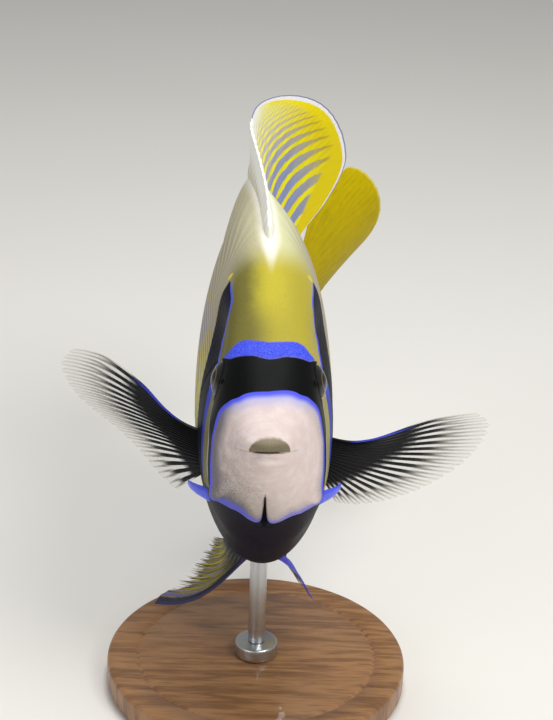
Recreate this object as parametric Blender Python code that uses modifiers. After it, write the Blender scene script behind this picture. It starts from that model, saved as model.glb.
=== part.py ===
"""Emperor angelfish, life size, head on and turning its tail to its left, on a plain stand.

Every place on the fish is given on the straight fish, in percent of the standard length:
back from the snout tip, up from the mouth, and out to the fish's left. at() carries such a
place to the bent fish on its stand, in metres. The snout points along -Y and +X is its left.
"""

import math

import bmesh
import bpy
import numpy as np
from mathutils import Matrix, Vector

# Driving dimensions, in metres
STANDARD_LENGTH = 0.260  # snout tip to the end of the tail's flesh
PERCENT = STANDARD_LENGTH / 100
GAP = 0.0003  # between pieces that meet
COVER_RAISE = 0.0005  # how proud a gill cover stands
MOUTH_HEIGHT = 0.167  # above the floor
BASE_RADIUS = 0.070
BASE_THICKNESS = 0.013
BASE_EDGE = 0.002
ROD_RADIUS = 0.004
COLLAR_RADIUS = 0.010
COLLAR_HEIGHT = 0.007

# Pose, in degrees
NOSE_UP = 15.0
TRUNK_SWING = 5.0  # the trunk leaves the head's line to the right
TAIL_SWING = 25.0  # and the tail's heading comes round to the left
TAIL_FLICK = 14.5  # and its last part turns further
TAIL_LIFT = 11.5  # the spine's rise over the trunk
TAIL_ROLL = 4.2  # the back leans to the fish's right
TAIL_TWIST = 17.4  # and the tail's upper side to its left

# Where the pose happens, in percent
SWING_START, SWING_LENGTH = 12.0, 36.0
ROLL_START = 22.0
TAIL_START, TAIL_END = 43.0, 118.0
FLICK_START, FLICK_LENGTH = 78.0, 24.0
TWIST_START, TWIST_LENGTH = 62.0, 56.0
LIFT_LENGTH = 60.0
SPINE_HEIGHT = 5.0
ROD_STATION = 44.0
HEAD_END = 28.0
TRUNK_END = 91.0

# Stations of the body: back, top, bottom, half width, widest height, top and bottom roundness
STATIONS = (
    (0.0, 0.9, -0.9, 0.6, 0.0, 2.0, 2.0),
    (0.6, 2.1, -2.2, 2.6, 0.0, 2.2, 2.2),
    (1.8, 3.5, -3.7, 3.7, 0.0, 2.4, 2.4),
    (4.0, 5.6, -6.4, 5.0, -0.3, 2.6, 2.4),
    (7.0, 8.3, -9.7, 6.5, -1.0, 2.8, 2.5),
    (11.0, 12.2, -13.2, 8.4, -2.5, 2.9, 2.6),
    (16.0, 16.6, -16.7, 9.6, -4.2, 3.0, 2.4),
    (22.0, 21.6, -20.9, 10.1, -4.0, 2.9, 2.0),
    (28.0, 26.0, -24.2, 10.7, -3.0, 2.7, 2.0),
    (34.0, 29.8, -25.8, 11.4, -2.0, 2.1, 2.0),
    (43.0, 34.2, -26.4, 11.6, -1.0, 1.65, 1.85),
    (53.0, 36.8, -25.2, 10.5, 0.0, 1.5, 1.85),
    (63.0, 36.6, -22.6, 8.5, 1.5, 1.35, 1.9),
    (72.0, 32.6, -17.6, 6.5, 2.5, 1.3, 1.9),
    (80.0, 25.4, -11.4, 5.1, 3.5, 1.4, 2.0),
    (86.0, 18.2, -6.2, 3.9, 4.2, 1.6, 2.0),
    (92.0, 12.4, -2.9, 2.9, 4.5, 1.9, 2.0),
    (97.0, 10.6, -2.0, 2.1, 4.4, 2.0, 2.0),
    (101.0, 10.4, -1.8, 1.2, 4.3, 2.0, 2.0),
)
# The hollows beside the nape and round the eye: back, up, reach each way, share of the width
HOLLOWS = ((25.0, 13.0, 7.0, 6.5, 0.22), (18.5, 7.0, 6.0, 6.0, 0.12))
BODY_SIDES = 40
BODY_RINGS = (
    0.12, 0.45, 1.0, 1.8, 2.9, 4.2, 5.7, 7.3, 9.0, 10.9, 12.9, 15.0, 17.2, 19.5, 21.9,
    24.4, 27.0, 29.8, 33.0, 36.6, 40.6, 45.0, 49.6, 54.2, 58.8, 63.2, 67.4, 71.4, 75.2,
    78.8, 82.2, 85.4, 88.4, 91.2, 94.0, 96.8, 99.2, 100.6,
)  # fmt: skip


def smooth(t):
    """Runs smoothly from 0 to 1 as t does."""
    t = min(max(t, 0.0), 1.0)
    return t * t * (3 - 2 * t)


def through(points, t):
    """The value at t of a smooth line through (t, value...) points, as a tuple."""
    keys = [p[0] for p in points]
    t = min(max(t, keys[0]), keys[-1])
    i = min(max(int(np.searchsorted(keys, t)) - 1, 0), len(keys) - 2)
    span = keys[i + 1] - keys[i]
    x = (t - keys[i]) / span
    values = []
    for k in range(1, len(points[0])):

        def slope(j):
            j0, j1 = max(j - 1, 0), min(j + 1, len(keys) - 1)
            return (points[j1][k] - points[j0][k]) / (keys[j1] - keys[j0])

        a, b = points[i][k], points[i + 1][k]
        values.append(
            a * (2 * x**3 - 3 * x**2 + 1)
            + b * (3 * x**2 - 2 * x**3)
            + slope(i) * span * (x**3 - 2 * x**2 + x)
            + slope(i + 1) * span * (x**3 - x**2)
        )
    return tuple(values)


# The bent centre line


def spine_angles(back):
    """(swing to the left, lift, roll) of the spine at a station, in radians."""
    swing = -TRUNK_SWING * smooth((back - SWING_START) / SWING_LENGTH)
    swing += (TAIL_SWING + TRUNK_SWING) * smooth((back - TAIL_START) / (TAIL_END - TAIL_START))
    swing += TAIL_FLICK * smooth((back - FLICK_START) / FLICK_LENGTH)
    bent = smooth((back - ROLL_START) / LIFT_LENGTH)
    roll = TAIL_ROLL * bent - TAIL_TWIST * smooth((back - TWIST_START) / TWIST_LENGTH)
    return math.radians(swing), math.radians(TAIL_LIFT * bent), math.radians(roll)


def spine_line(step=0.5, reach=130.0):
    """Points of the spine, in percent, each a step of its length from the last."""
    points = [Vector((0, -5, SPINE_HEIGHT))]
    for i in range(int((reach + 5) / step)):
        swing, lift, _ = spine_angles(-5 + (i + 0.5) * step)
        go = Vector((math.sin(swing) * math.cos(lift), math.cos(swing) * math.cos(lift), math.sin(lift)))
        points.append(points[-1] + go * step)
    return points, step


SPINE, SPINE_STEP = spine_line()


def on_bent_fish(back, up, left):
    """A place on the straight fish, on the bent one, in percent, with the nose still level."""
    along = (back + 5) / SPINE_STEP
    i = min(max(int(along), 0), len(SPINE) - 2)
    centre = SPINE[i].lerp(SPINE[i + 1], along - i)
    swing, lift, roll = spine_angles(back)
    rise = up - SPINE_HEIGHT
    out = left * math.cos(roll) - rise * math.sin(roll)
    rise = left * math.sin(roll) + rise * math.cos(roll)
    to_left = Vector((math.cos(swing), -math.sin(swing), 0))
    upward = Vector((-math.sin(lift) * math.sin(swing), -math.sin(lift) * math.cos(swing), math.cos(lift)))
    return centre + to_left * out + upward * rise


def body_section(back):
    return through(STATIONS, back)


TURN = Matrix.Rotation(math.radians(-NOSE_UP), 3, "X")
BELLY = TURN @ on_bent_fish(ROD_STATION, body_section(ROD_STATION)[1], 0) * PERCENT
SHIFT = Vector((-BELLY.x, -BELLY.y, MOUTH_HEIGHT))


def at(back, up, left):
    """A place on the straight fish, in percent, carried to the posed one, in metres."""
    return TURN @ on_bent_fish(back, up, left) * PERCENT + SHIFT


def hollowed(back, up):
    """The share of the section's width that is left by the hollows in the head's sides."""
    left = 1.0
    for at_back, at_up, reach_back, reach_up, share in HOLLOWS:
        far = ((back - at_back) / reach_back) ** 2 + ((up - at_up) / reach_up) ** 2
        left *= 1 - share * math.exp(-far)
    return left


def skin(back, angle):
    """(back, up, left) on the body's surface; the angle runs from the left side over the back."""
    top, bottom, half_width, widest, round_top, round_bottom = body_section(back)
    c, s = math.cos(angle), math.sin(angle)
    roundness, reach = (round_top, top - widest) if s >= 0 else (round_bottom, widest - bottom)
    out = half_width * math.copysign(abs(c) ** (2 / roundness), c)
    up = widest + reach * math.copysign(abs(s) ** (2 / roundness), s)
    return back, up, out * hollowed(back, up)


def half_width_at(back, up):
    """How far out the body's surface is at a place on its side."""
    top, bottom, half_width, widest, round_top, round_bottom = body_section(back)
    if up >= widest:
        share, roundness = (up - widest) / (top - widest), round_top
    else:
        share, roundness = (widest - up) / (widest - bottom), round_bottom
    out = half_width * max(1 - min(share, 1) ** roundness, 0) ** (1 / roundness)
    return out * hollowed(back, up)


def belly_height(back, out):
    """How low the body's surface is at a distance from its middle plane."""
    _, bottom, half_width, widest, _, roundness = body_section(back)
    return widest - (widest - bottom) * (1 - (out / half_width) ** roundness) ** (1 / roundness)


# Tools


def start_scene():
    for obj in list(bpy.data.objects):
        bpy.data.objects.remove(obj)
    for name in ("emperor_angelfish", "cutters"):
        bpy.context.scene.collection.children.link(bpy.data.collections.new(name))


def put_in(obj, collection):
    for holder in list(obj.users_collection):
        holder.objects.unlink(obj)
    bpy.data.collections[collection].objects.link(obj)


def paint(obj, colour, roughness, metallic=0.0):
    material = bpy.data.materials.new(obj.name)
    material.use_nodes = True
    shader = material.node_tree.nodes["Principled BSDF"]
    shader.inputs["Base Color"].default_value = (*colour, 1)
    shader.inputs["Roughness"].default_value = roughness
    shader.inputs["Metallic"].default_value = metallic
    obj.data.materials.clear()
    obj.data.materials.append(material)


def part(obj, name, colour, roughness, metallic=0.0):
    obj.name = obj.data.name = name
    paint(obj, colour, roughness, metallic)
    put_in(obj, "emperor_angelfish")
    obj.data.shade_smooth()
    return obj


def cutter(obj, name):
    obj.name = name
    obj.hide_render = True
    obj.display_type = "WIRE"
    put_in(obj, "cutters")
    return obj


def copy_of(obj):
    made = obj.copy()
    made.data = obj.data.copy()
    bpy.context.scene.collection.objects.link(made)
    return made


def face_out(obj):
    bm = bmesh.new()
    bm.from_mesh(obj.data)
    bmesh.ops.recalc_face_normals(bm, faces=bm.faces)
    bm.to_mesh(obj.data)
    bm.free()
    return obj


def apply_modifiers(obj):
    graph = bpy.context.evaluated_depsgraph_get()
    mesh = bpy.data.meshes.new_from_object(obj.evaluated_get(graph))
    obj.modifiers.clear()
    obj.data = mesh
    return obj


def keep_largest(obj):
    """Drops every closed surface of the mesh but the one with the largest box."""
    bm = bmesh.new()
    bm.from_mesh(obj.data)
    left, shells = set(bm.verts), []
    while left:
        reached, edge = set(), [left.pop()]
        while edge:
            vert = edge.pop()
            reached.add(vert)
            near = {e.other_vert(vert) for e in vert.link_edges} & left
            left -= near
            edge.extend(near)
        shells.append(reached)

    def spread(shell):
        co = np.array([v.co for v in shell])
        return float(np.ptp(co, axis=0).sum())

    shells.sort(key=spread)
    for shell in shells[:-1]:
        bmesh.ops.delete(bm, geom=list(shell), context="VERTS")
    bm.to_mesh(obj.data)
    bm.free()
    return obj


def boolean(obj, other, operation):
    modifier = obj.modifiers.new(operation, "BOOLEAN")
    modifier.operation = operation
    modifier.object = other
    apply_modifiers(obj)
    return keep_largest(obj)


def grow(obj, by):
    """A copy of a closed piece, its surface moved out by a distance."""
    made = copy_of(obj)
    modifier = made.modifiers.new("grow", "DISPLACE")
    modifier.mid_level = 0
    modifier.strength = by
    return apply_modifiers(made)


def slice_between(obj, start, end):
    """A copy of the whole body between two stations, closed by flat faces."""
    made = copy_of(obj)
    bm = bmesh.new()
    bm.from_mesh(made.data)
    for station, keep_back in ((start, 1), (end, -1)):
        if station is None:
            continue
        along = (at(station + 0.1, SPINE_HEIGHT, 0) - at(station - 0.1, SPINE_HEIGHT, 0)).normalized()
        middle = at(station, SPINE_HEIGHT, 0) + along * keep_back * GAP / 2
        geometry = bm.verts[:] + bm.edges[:] + bm.faces[:]
        bmesh.ops.bisect_plane(
            bm, geom=geometry, plane_co=middle, plane_no=-along * keep_back, clear_outer=True
        )
        rim = [e for e in bm.edges if e.is_boundary]
        bmesh.ops.edgeloop_fill(bm, edges=rim)
    bmesh.ops.triangulate(bm, faces=[f for f in bm.faces if len(f.verts) > 4])
    bm.to_mesh(made.data)
    bm.free()
    return face_out(made)


def sphere(place, sides, rings):
    """A UV sphere whose vertices place() moves, from their (x, y, z) on the unit sphere."""
    bpy.ops.mesh.primitive_uv_sphere_add(segments=sides, ring_count=rings, radius=1)
    obj = bpy.context.object
    for vert in obj.data.vertices:
        vert.co = place(vert.co.copy())
    return face_out(obj)


# The body, modelled whole


def make_body():
    rings = len(BODY_RINGS) + 1

    def place(point):
        ring = round(math.acos(max(-1, min(1, point.z))) / math.pi * rings)
        if ring == 0:
            return at(0, 0, 0)
        if ring == rings:
            return at(STATIONS[-1][0], STATIONS[-1][4], 0)
        return at(*skin(BODY_RINGS[ring - 1], math.atan2(point.y, point.x)))

    return sphere(place, BODY_SIDES, rings)


# Head pieces

EYE_PLACE = (16.8, 8.3)
EYE_RADIUS = 3.1
EYE_DEPTH = 1.7
EYE_SINK = 0.6  # the eye's centre lies this far under the skin
EYE_FORWARD, EYE_UPWARD = 12.0, 12.0  # degrees that the eye looks forward and up
COVER_CENTRE = (25.6, -1.6)
COVER_HALF = (5.4, 11.4)
COVER_TILT = 8.0
COVER_INNER, COVER_OUTER = 7.6, 14.0
SPINE_ROOT = (20.6, -11.4)
SPINE_REACH = (7.9, 0.9)
SPINE_TIP_OUT = 12.6
SPINE_WIDTH, SPINE_THICKNESS = 1.35, 0.8
MOUTH_SLIT = (-0.13, 3.0, 3.3, 0.28)  # its height, how far back, half width and opening
NOSTRILS = ((12.0, 8.7, 0.34), (13.1, 8.4, 0.26))  # back, up, radius


def make_eye(side, extra=0.0):
    """A flattened ball in its socket, or the socket's cutter when it is made larger."""
    back, up = EYE_PLACE
    centre = half_width_at(back, up) - EYE_SINK
    turn = Matrix.Rotation(math.radians(EYE_FORWARD), 3, "Z") @ Matrix.Rotation(
        math.radians(EYE_UPWARD), 3, "Y"
    )
    more = extra / PERCENT

    def place(point):
        # Sphere axes here: x out, y back, z up
        wide = EYE_RADIUS + more
        flat = Vector((point.z * (EYE_DEPTH + more), point.x * wide, point.y * wide))
        turned = turn.inverted() @ flat
        return at(back + turned.y, up + turned.z, side * (centre + turned.x))

    return sphere(place, 18, 9)


def make_lip(middle, size, lift):
    """A lip: a long ball, its ends swept back round the snout and turned by lift."""
    back, up = middle

    def place(point):
        out = point.x * size[2]
        return at(
            back + point.y * size[0] + 0.15 * out * out,
            up + point.z * size[1] + lift * out * out,
            out,
        )

    return sphere(place, 24, 10)


def cover_outline(extra):
    """A prism through the side of the head with the gill cover's outline."""
    bpy.ops.mesh.primitive_cylinder_add(vertices=30, radius=1, depth=2)
    obj = bpy.context.object
    tilt = math.radians(COVER_TILT)
    more = extra / PERCENT
    depth = COVER_INNER - more, COVER_OUTER + more

    def prism(side):
        made = copy_of(obj)
        for vert in made.data.vertices:
            x = vert.co.x * (COVER_HALF[0] + more)
            y = vert.co.y * (COVER_HALF[1] + more)
            back = COVER_CENTRE[0] + x * math.cos(tilt) - y * math.sin(tilt)
            up = COVER_CENTRE[1] + x * math.sin(tilt) + y * math.cos(tilt)
            vert.co = at(back, up, side * depth[vert.co.z > 0])
        return face_out(made)

    made = [prism(1), prism(-1)]
    bpy.data.objects.remove(obj)
    return made


def make_cheek_spine(side):
    """The large spine at the corner of the cheek: a flattened horn that curves outward."""
    root_out = half_width_at(*SPINE_ROOT) - 0.6

    def place(point):
        t = (point.z + 1) / 2
        taper = (1 - t) ** 0.7
        bow = math.sin(math.pi * t / 2)
        out = root_out + (SPINE_TIP_OUT - root_out) * bow + point.x * SPINE_THICKNESS * taper
        up = SPINE_ROOT[1] + SPINE_REACH[1] * t + point.y * SPINE_WIDTH * taper
        return at(SPINE_ROOT[0] + SPINE_REACH[0] * t, up, side * out)

    bpy.ops.mesh.primitive_cone_add(vertices=10, radius1=1, radius2=1, depth=2)
    obj = bpy.context.object
    bm = bmesh.new()
    bm.from_mesh(obj.data)
    long_edges = [e for e in bm.edges if abs(e.verts[0].co.z - e.verts[1].co.z) > 1]
    bmesh.ops.subdivide_edges(bm, edges=long_edges, cuts=6, use_grid_fill=True)
    for vert in bm.verts:
        vert.co = place(vert.co.copy())
    bmesh.ops.remove_doubles(bm, verts=bm.verts, dist=GAP / 10)
    bm.to_mesh(obj.data)
    bm.free()
    return face_out(obj)


def make_mouth_slit():
    """The shallow slot behind the lips."""
    bpy.ops.mesh.primitive_cube_add(size=2)
    obj = bpy.context.object
    for vert in obj.data.vertices:
        out = vert.co.x * MOUTH_SLIT[2]
        back = -1.0 if vert.co.y < 0 else MOUTH_SLIT[1]
        vert.co = at(back, MOUTH_SLIT[0] + vert.co.z * MOUTH_SLIT[3] / 2 - 0.02 * out * out, out)
    return face_out(obj)


def make_pit(back, up, out, radius):
    return sphere(lambda p: at(back + p.x * radius, up + p.y * radius, out + p.z * radius), 8, 6)


def make_head(body, grown):
    head = part(slice_between(body, None, HEAD_END), "head", (0.72, 0.68, 0.62), 0.45)
    covers = cover_outline(0)
    cover_cuts = cover_outline(GAP)
    raised = grow(body, COVER_RAISE)
    for side, outline, cut in zip((1, -1), covers, cover_cuts):
        name = "left" if side > 0 else "right"
        cover = copy_of(raised)
        boolean(cover, outline, "INTERSECT")
        part(cover, f"gill_cover_{name}", (0.45, 0.43, 0.25), 0.4)
        cutter(outline, f"cover_{name}_outline")
        cutter(cut, f"cover_{name}_cut")
        boolean(head, cut, "DIFFERENCE")
        socket = cutter(make_eye(side, GAP), f"eye_{name}_socket")
        boolean(head, socket, "DIFFERENCE")
        part(make_eye(side), f"eye_{name}", (0.03, 0.03, 0.04), 0.08)
        spine = part(make_cheek_spine(side), f"cheek_spine_{name}", (0.1, 0.12, 0.75), 0.3)
        boolean(spine, grown["covered"], "DIFFERENCE")
        for i, (back, up, radius) in enumerate(NOSTRILS):
            out = half_width_at(back, up)
            pit = make_pit(back, up, side * out, radius)
            boolean(head, cutter(pit, f"nostril_{name}_{i}"), "DIFFERENCE")
    bpy.data.objects.remove(raised)
    boolean(head, cutter(make_throat_slit(), "throat_slit"), "DIFFERENCE")
    boolean(head, cutter(make_mouth_slit(), "mouth_slit"), "DIFFERENCE")
    upper = part(make_lip((0.9, 1.2), (2.1, 1.2, 4.0), -0.02), "upper_lip", (0.33, 0.31, 0.2), 0.4)
    lower = part(make_lip((1.2, -1.3), (2.1, 1.05, 4.0), -0.02), "lower_lip", (0.75, 0.7, 0.64), 0.45)
    for lip in (upper, lower):
        boolean(lip, grown["body"], "DIFFERENCE")
    return head


def make_throat_slit():
    """The narrow wedge between the gill membranes, under the chin."""
    bpy.ops.mesh.primitive_cube_add(size=2)
    obj = bpy.context.object
    for vert in obj.data.vertices:
        deep = vert.co.z < 0
        front = vert.co.y < 0
        back = 5.6 if front else 13.0
        up = body_section(back)[1] + (-2.0 if deep else 1.1)
        vert.co = at(back, up, vert.co.x * (0.1 if front else 0.55))
    return face_out(obj)


# Fins: a sheet of rays and membrane, thick on the rays


def fin(name, surface, rays, rows, thickness, colour, grown, spines=0, plain_margin=False):
    """surface(u, v) gives (back, up, left); u runs across the rays and v from root to margin."""
    columns = 2 * rays
    bpy.ops.mesh.primitive_grid_add(x_subdivisions=columns, y_subdivisions=rows, size=2)
    obj = bpy.context.object
    obj.name = name
    group = obj.vertex_groups.new(name="thickness")
    root, tip, membrane = thickness
    for vert in obj.data.vertices:
        u, v = (vert.co.x + 1) / 2, (vert.co.y + 1) / 2
        column = round(u * columns)
        on_ray = column % 2 == 1
        thick = (root + (tip - root) * v) if on_ray else membrane
        if column < 2 * spines and on_ray:
            thick *= 1.25
        group.add([vert.index], min(thick / (1.25 * root), 1.0), "REPLACE")
        reach = v if on_ray or plain_margin else v * 0.975
        vert.co = at(*surface(u, reach))
    bm = bmesh.new()
    bm.from_mesh(obj.data)
    bmesh.ops.triangulate(bm, faces=bm.faces)
    bm.to_mesh(obj.data)
    bm.free()
    modifier = obj.modifiers.new("thickness", "SOLIDIFY")
    modifier.thickness = 1.25 * root
    modifier.offset = 0
    modifier.vertex_group = "thickness"
    modifier.thickness_vertex_group = 0.0
    apply_modifiers(obj)
    face_out(obj)
    boolean(obj, grown, "DIFFERENCE")
    return part(obj, name, colour, 0.4)


# Dorsal fin: where each share of the base's length has its margin, back and up
DORSAL_BASE = (33.0, 91.0)
DORSAL_MARGIN = (
    (0.0, 33.4, 31.2), (0.10, 38.4, 35.5), (0.22, 47.2, 39.6), (0.36, 56.4, 43.0),
    (0.50, 66.7, 45.7), (0.58, 73.0, 47.4), (0.66, 80.5, 47.9), (0.73, 87.5, 47.1),
    (0.80, 93.8, 44.9), (0.86, 99.6, 41.2), (0.91, 104.2, 36.2), (0.95, 106.6, 30.2),
    (0.98, 103.4, 23.2), (1.0, 96.5, 17.5),
)  # fmt: skip
DORSAL_SPLIT = 0.51  # the last spine's share
DORSAL_CURL = 2.8
ANAL_BASE = (60.0, 90.0)
ANAL_MARGIN = (
    (0.0, 60.8, -24.9), (0.12, 66.6, -30.4), (0.26, 73.0, -35.0), (0.42, 80.5, -38.0),
    (0.58, 89.0, -37.6), (0.72, 96.4, -33.4), (0.84, 101.4, -26.4), (0.93, 102.6, -18.2),
    (1.0, 97.0, -7.6),
)  # fmt: skip
FIN_SINK = 1.2


def margin_fin(base, margin, top, curl):
    """A fin along the back or the belly, leaning to the left by curl toward its rear margin."""

    def surface(u, v):
        root_back = base[0] + (base[1] - base[0]) * u
        edge = body_section(root_back)[0 if top else 1]
        root_up = edge - FIN_SINK if top else edge + FIN_SINK
        tip_back, tip_up = through(margin, u)
        sweep = v + 0.12 * math.sin(math.pi * v)  # the rays bow forward
        back = root_back + (tip_back - root_back) * (2 * v - sweep)
        up = root_up + (tip_up - root_up) * sweep
        over = max(up - body_section(back)[0], 0) / 20
        return back, up, curl * over**1.5 * smooth((back - 60) / 40)

    return surface


def part_of(surface, start, end):
    return lambda u, v: surface(start + (end - start) * u, v)


CAUDAL_ROOT = (97.5, 4.3)
CAUDAL_ROOT_HALF = 4.6
CAUDAL_LENGTH = 25.4
CAUDAL_SPREAD = (46.0, 29.6)  # degrees over and under its middle
CAUDAL_ROUNDING = (0.20, 0.16)
CAUDAL_BOW = 5.0  # how far the upper edge bulges
CAUDAL_TWIST = 6.5
CAUDAL_CUP = 4.4
CAUDAL_RISE = 7.05


def caudal_surface(u, v):
    """A fan, u from the top ray to the bottom one, its upper rays turned to the left."""
    across = 1 - 2 * u
    half = 0 if across > 0 else 1
    angle = math.radians(CAUDAL_SPREAD[half]) * across
    length = CAUDAL_LENGTH * (1 - CAUDAL_ROUNDING[half] * abs(across) ** 2.5)
    back = CAUDAL_ROOT[0] + length * v * math.cos(angle * 0.8)
    up = CAUDAL_ROOT[1] + CAUDAL_ROOT_HALF * across + length * v * math.sin(angle)
    up += CAUDAL_BOW * max(across, 0) ** 2 * math.sin(math.pi * v)
    far = max(back - 95, 0) / 25
    twist = (CAUDAL_TWIST * (up - 5) / 15 - CAUDAL_CUP * ((up - 5) / 12) ** 2) * far
    return back, up + CAUDAL_RISE * (max(back - 97.5, 0) / 25) ** 1.3, twist


# Pectoral fins: root on the body, and per share down the root the ray's length and its
# direction in the front view, in degrees over the level line
PECTORAL_TOP = (31.0, -2.9)
PECTORAL_BOTTOM = (32.2, -9.6)
PECTORAL_SINK = 1.6
LEFT_PECTORAL = (
    (0.0, 25.8, 4.9), (0.12, 28.4, 1.2), (0.25, 27.5, -4.6), (0.4, 24.8, -11.4),
    (0.55, 20.1, -20.6), (0.7, 15.2, -31.0), (0.82, 10.9, -42.5), (0.92, 7.8, -53.0),
    (1.0, 5.6, -62.0),
)  # fmt: skip
RIGHT_PECTORAL = (
    (0.0, 24.8, 29.3), (0.12, 25.8, 24.4), (0.25, 24.2, 20.4), (0.4, 21.4, 17.2),
    (0.55, 17.3, 14.6), (0.7, 13.2, 10.6), (0.82, 9.7, 1.5), (0.92, 7.0, -17.0),
    (1.0, 5.2, -40.0),
)  # fmt: skip
LEFT_ARCH, RIGHT_ARCH = 4.0, 17.0  # degrees that a ray bends down along its length
PECTORAL_SWEEP = 0.26
PECTORAL_CUP = 0.30


def pectoral_surface(side, rays, arch):
    def surface(u, v):
        root_back = PECTORAL_TOP[0] + (PECTORAL_BOTTOM[0] - PECTORAL_TOP[0]) * u
        root_up = PECTORAL_TOP[1] + (PECTORAL_BOTTOM[1] - PECTORAL_TOP[1]) * u
        root_out = half_width_at(root_back, root_up) - PECTORAL_SINK
        length, direction = through(rays, u)
        angle = math.radians(direction + arch * (0.5 - 0.5 * v))
        run = (length + PECTORAL_SINK) * v
        sweep = run * (PECTORAL_SWEEP + PECTORAL_CUP * u * v)
        return root_back + sweep, root_up + run * math.sin(angle), side * (root_out + run * math.cos(angle))

    return surface


# Pelvic fins: the back and out of the root's low front end and of its higher rear end, then per
# side where the leading and the trailing ray end, from a place on the belly, and how far they bow
PELVIC_ROOT = ((29.0, 2.2), (33.0, 5.6))
PELVIC_ORIGIN = (28.6, 2.0)
PELVIC_SINK = 1.2
LEFT_PELVIC = ((18.7, -14.3, 8.1), (15.2, -7.6, 4.9), -0.9, 1.0)
RIGHT_PELVIC = ((16.8, -13.5, 16.9), (12.9, 0.4, 6.2), 3.2, 0.5)


def pelvic_surface(side, fin_shape):
    lead, trail = Vector(fin_shape[0]), Vector(fin_shape[1])
    (front, front_out), (rear, rear_out) = PELVIC_ROOT
    origin_back, origin_out = PELVIC_ORIGIN
    origin = Vector((origin_back, belly_height(origin_back, origin_out), origin_out))

    def surface(u, v):
        back, out = front + (rear - front) * u, front_out + (rear_out - front_out) * u
        root = Vector((back, belly_height(back, out) + PELVIC_SINK, out - 0.3 * PELVIC_SINK))
        tip = origin + lead.lerp(trail, u**0.9) * (1 - 0.12 * math.sin(math.pi * u))
        place = root.lerp(tip, v)
        place.y -= fin_shape[2] * (1 - fin_shape[3] * u) * math.sin(math.pi * v)
        return place.x, place.y, side * place.z

    return surface


def make_fins(grown):
    yellow, dark, olive = (0.75, 0.62, 0.03), (0.03, 0.03, 0.05), (0.3, 0.28, 0.1)
    thin = (0.0014, 0.0006, 0.0006)
    dorsal = margin_fin(DORSAL_BASE, DORSAL_MARGIN, True, DORSAL_CURL)
    seam = GAP / PERCENT / (DORSAL_BASE[1] - DORSAL_BASE[0])
    spiny = part_of(dorsal, 0, DORSAL_SPLIT)
    soft = part_of(dorsal, DORSAL_SPLIT + 4 * seam, 1)
    fin("dorsal_fin_spiny", spiny, 14, 5, (0.0018, 0.0008, 0.0007), (0.7, 0.66, 0.4), grown, 14)
    fin("dorsal_fin_soft", soft, 20, 6, thin, yellow, grown)
    anal = margin_fin(ANAL_BASE, ANAL_MARGIN, False, 0)
    fin("anal_fin", anal, 23, 5, thin, (0.04, 0.05, 0.2), grown, 3)
    fin("caudal_fin", caudal_surface, 17, 5, thin, (0.72, 0.6, 0.03), grown, plain_margin=True)
    for side, name, rays, arch, pelvic_shape in (
        (1, "left", LEFT_PECTORAL, LEFT_ARCH, LEFT_PELVIC),
        (-1, "right", RIGHT_PECTORAL, RIGHT_ARCH, RIGHT_PELVIC),
    ):
        pectoral = pectoral_surface(side, rays, arch)
        fin(f"pectoral_fin_{name}", pectoral, 19, 6, (0.0016, 0.0006, 0.0006), dark, grown)
        pelvic = pelvic_surface(side, pelvic_shape)
        fin(f"pelvic_fin_{name}", pelvic, 6, 6, (0.0013, 0.0007, 0.0006), olive, grown, 1)


# Stand


def make_stand(grown):
    bpy.ops.mesh.primitive_cylinder_add(vertices=48, radius=BASE_RADIUS, depth=BASE_THICKNESS)
    base = bpy.context.object
    base.location.z = BASE_THICKNESS / 2
    bevel = base.modifiers.new("edge", "BEVEL")
    bevel.width = BASE_EDGE
    bevel.segments = 2
    bevel.limit_method = "ANGLE"
    part(base, "stand_base", (0.55, 0.42, 0.28), 0.5)
    foot = BASE_THICKNESS + GAP
    bpy.ops.mesh.primitive_cylinder_add(vertices=32, radius=COLLAR_RADIUS, depth=COLLAR_HEIGHT)
    collar = bpy.context.object
    collar.location.z = foot + COLLAR_HEIGHT / 2
    part(collar, "stand_collar", (0.6, 0.6, 0.6), 0.3, 1.0)
    rod_foot = foot + COLLAR_HEIGHT + GAP
    rod_top = BELLY.z + SHIFT.z + 0.01
    bpy.ops.mesh.primitive_cylinder_add(vertices=24, radius=ROD_RADIUS, depth=rod_top - rod_foot)
    rod = bpy.context.object
    rod.location.z = (rod_top + rod_foot) / 2
    boolean(rod, grown, "DIFFERENCE")
    part(rod, "stand_rod", (0.6, 0.6, 0.6), 0.3, 1.0)


def centre_over_origin():
    """Moves the whole model level so that the middle of its box is over the origin."""
    pieces = bpy.data.collections["emperor_angelfish"].objects
    for obj in pieces:
        obj.data.transform(obj.matrix_basis)
        obj.matrix_basis = Matrix()
    co = np.array([v.co for obj in pieces for v in obj.data.vertices])
    middle = (co.min(axis=0) + co.max(axis=0)) / 2
    for obj in pieces:
        obj.data.transform(Matrix.Translation((-middle[0], -middle[1], 0)))
    print(f"stand at {-middle[0]:.5f} {-middle[1]:.5f}")


def main():
    start_scene()
    body = make_body()
    grown = {
        "body": cutter(grow(body, GAP), "body_clearance"),
        "covered": cutter(grow(body, COVER_RAISE + GAP), "cover_clearance"),
    }
    make_head(body, grown)
    trunk = part(slice_between(body, HEAD_END, TRUNK_END), "trunk", (0.42, 0.42, 0.5), 0.4)
    for side in ("left", "right"):
        boolean(trunk, bpy.data.objects[f"cover_{side}_cut"], "DIFFERENCE")
    part(slice_between(body, TRUNK_END, None), "tail_base", (0.5, 0.45, 0.2), 0.4)
    make_fins(grown["covered"])
    make_stand(grown["body"])
    bpy.data.objects.remove(body)
    centre_over_origin()


main()
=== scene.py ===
# An emperor angelfish on a display stand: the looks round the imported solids.
# Places are given on the straight fish, in percent of its length without the tail fin: back from
# the snout, up from the mouth, and out to its left. place() carries them to the posed fish.
import math

import bpy
import numpy as np
from mathutils import Matrix, Vector


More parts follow.
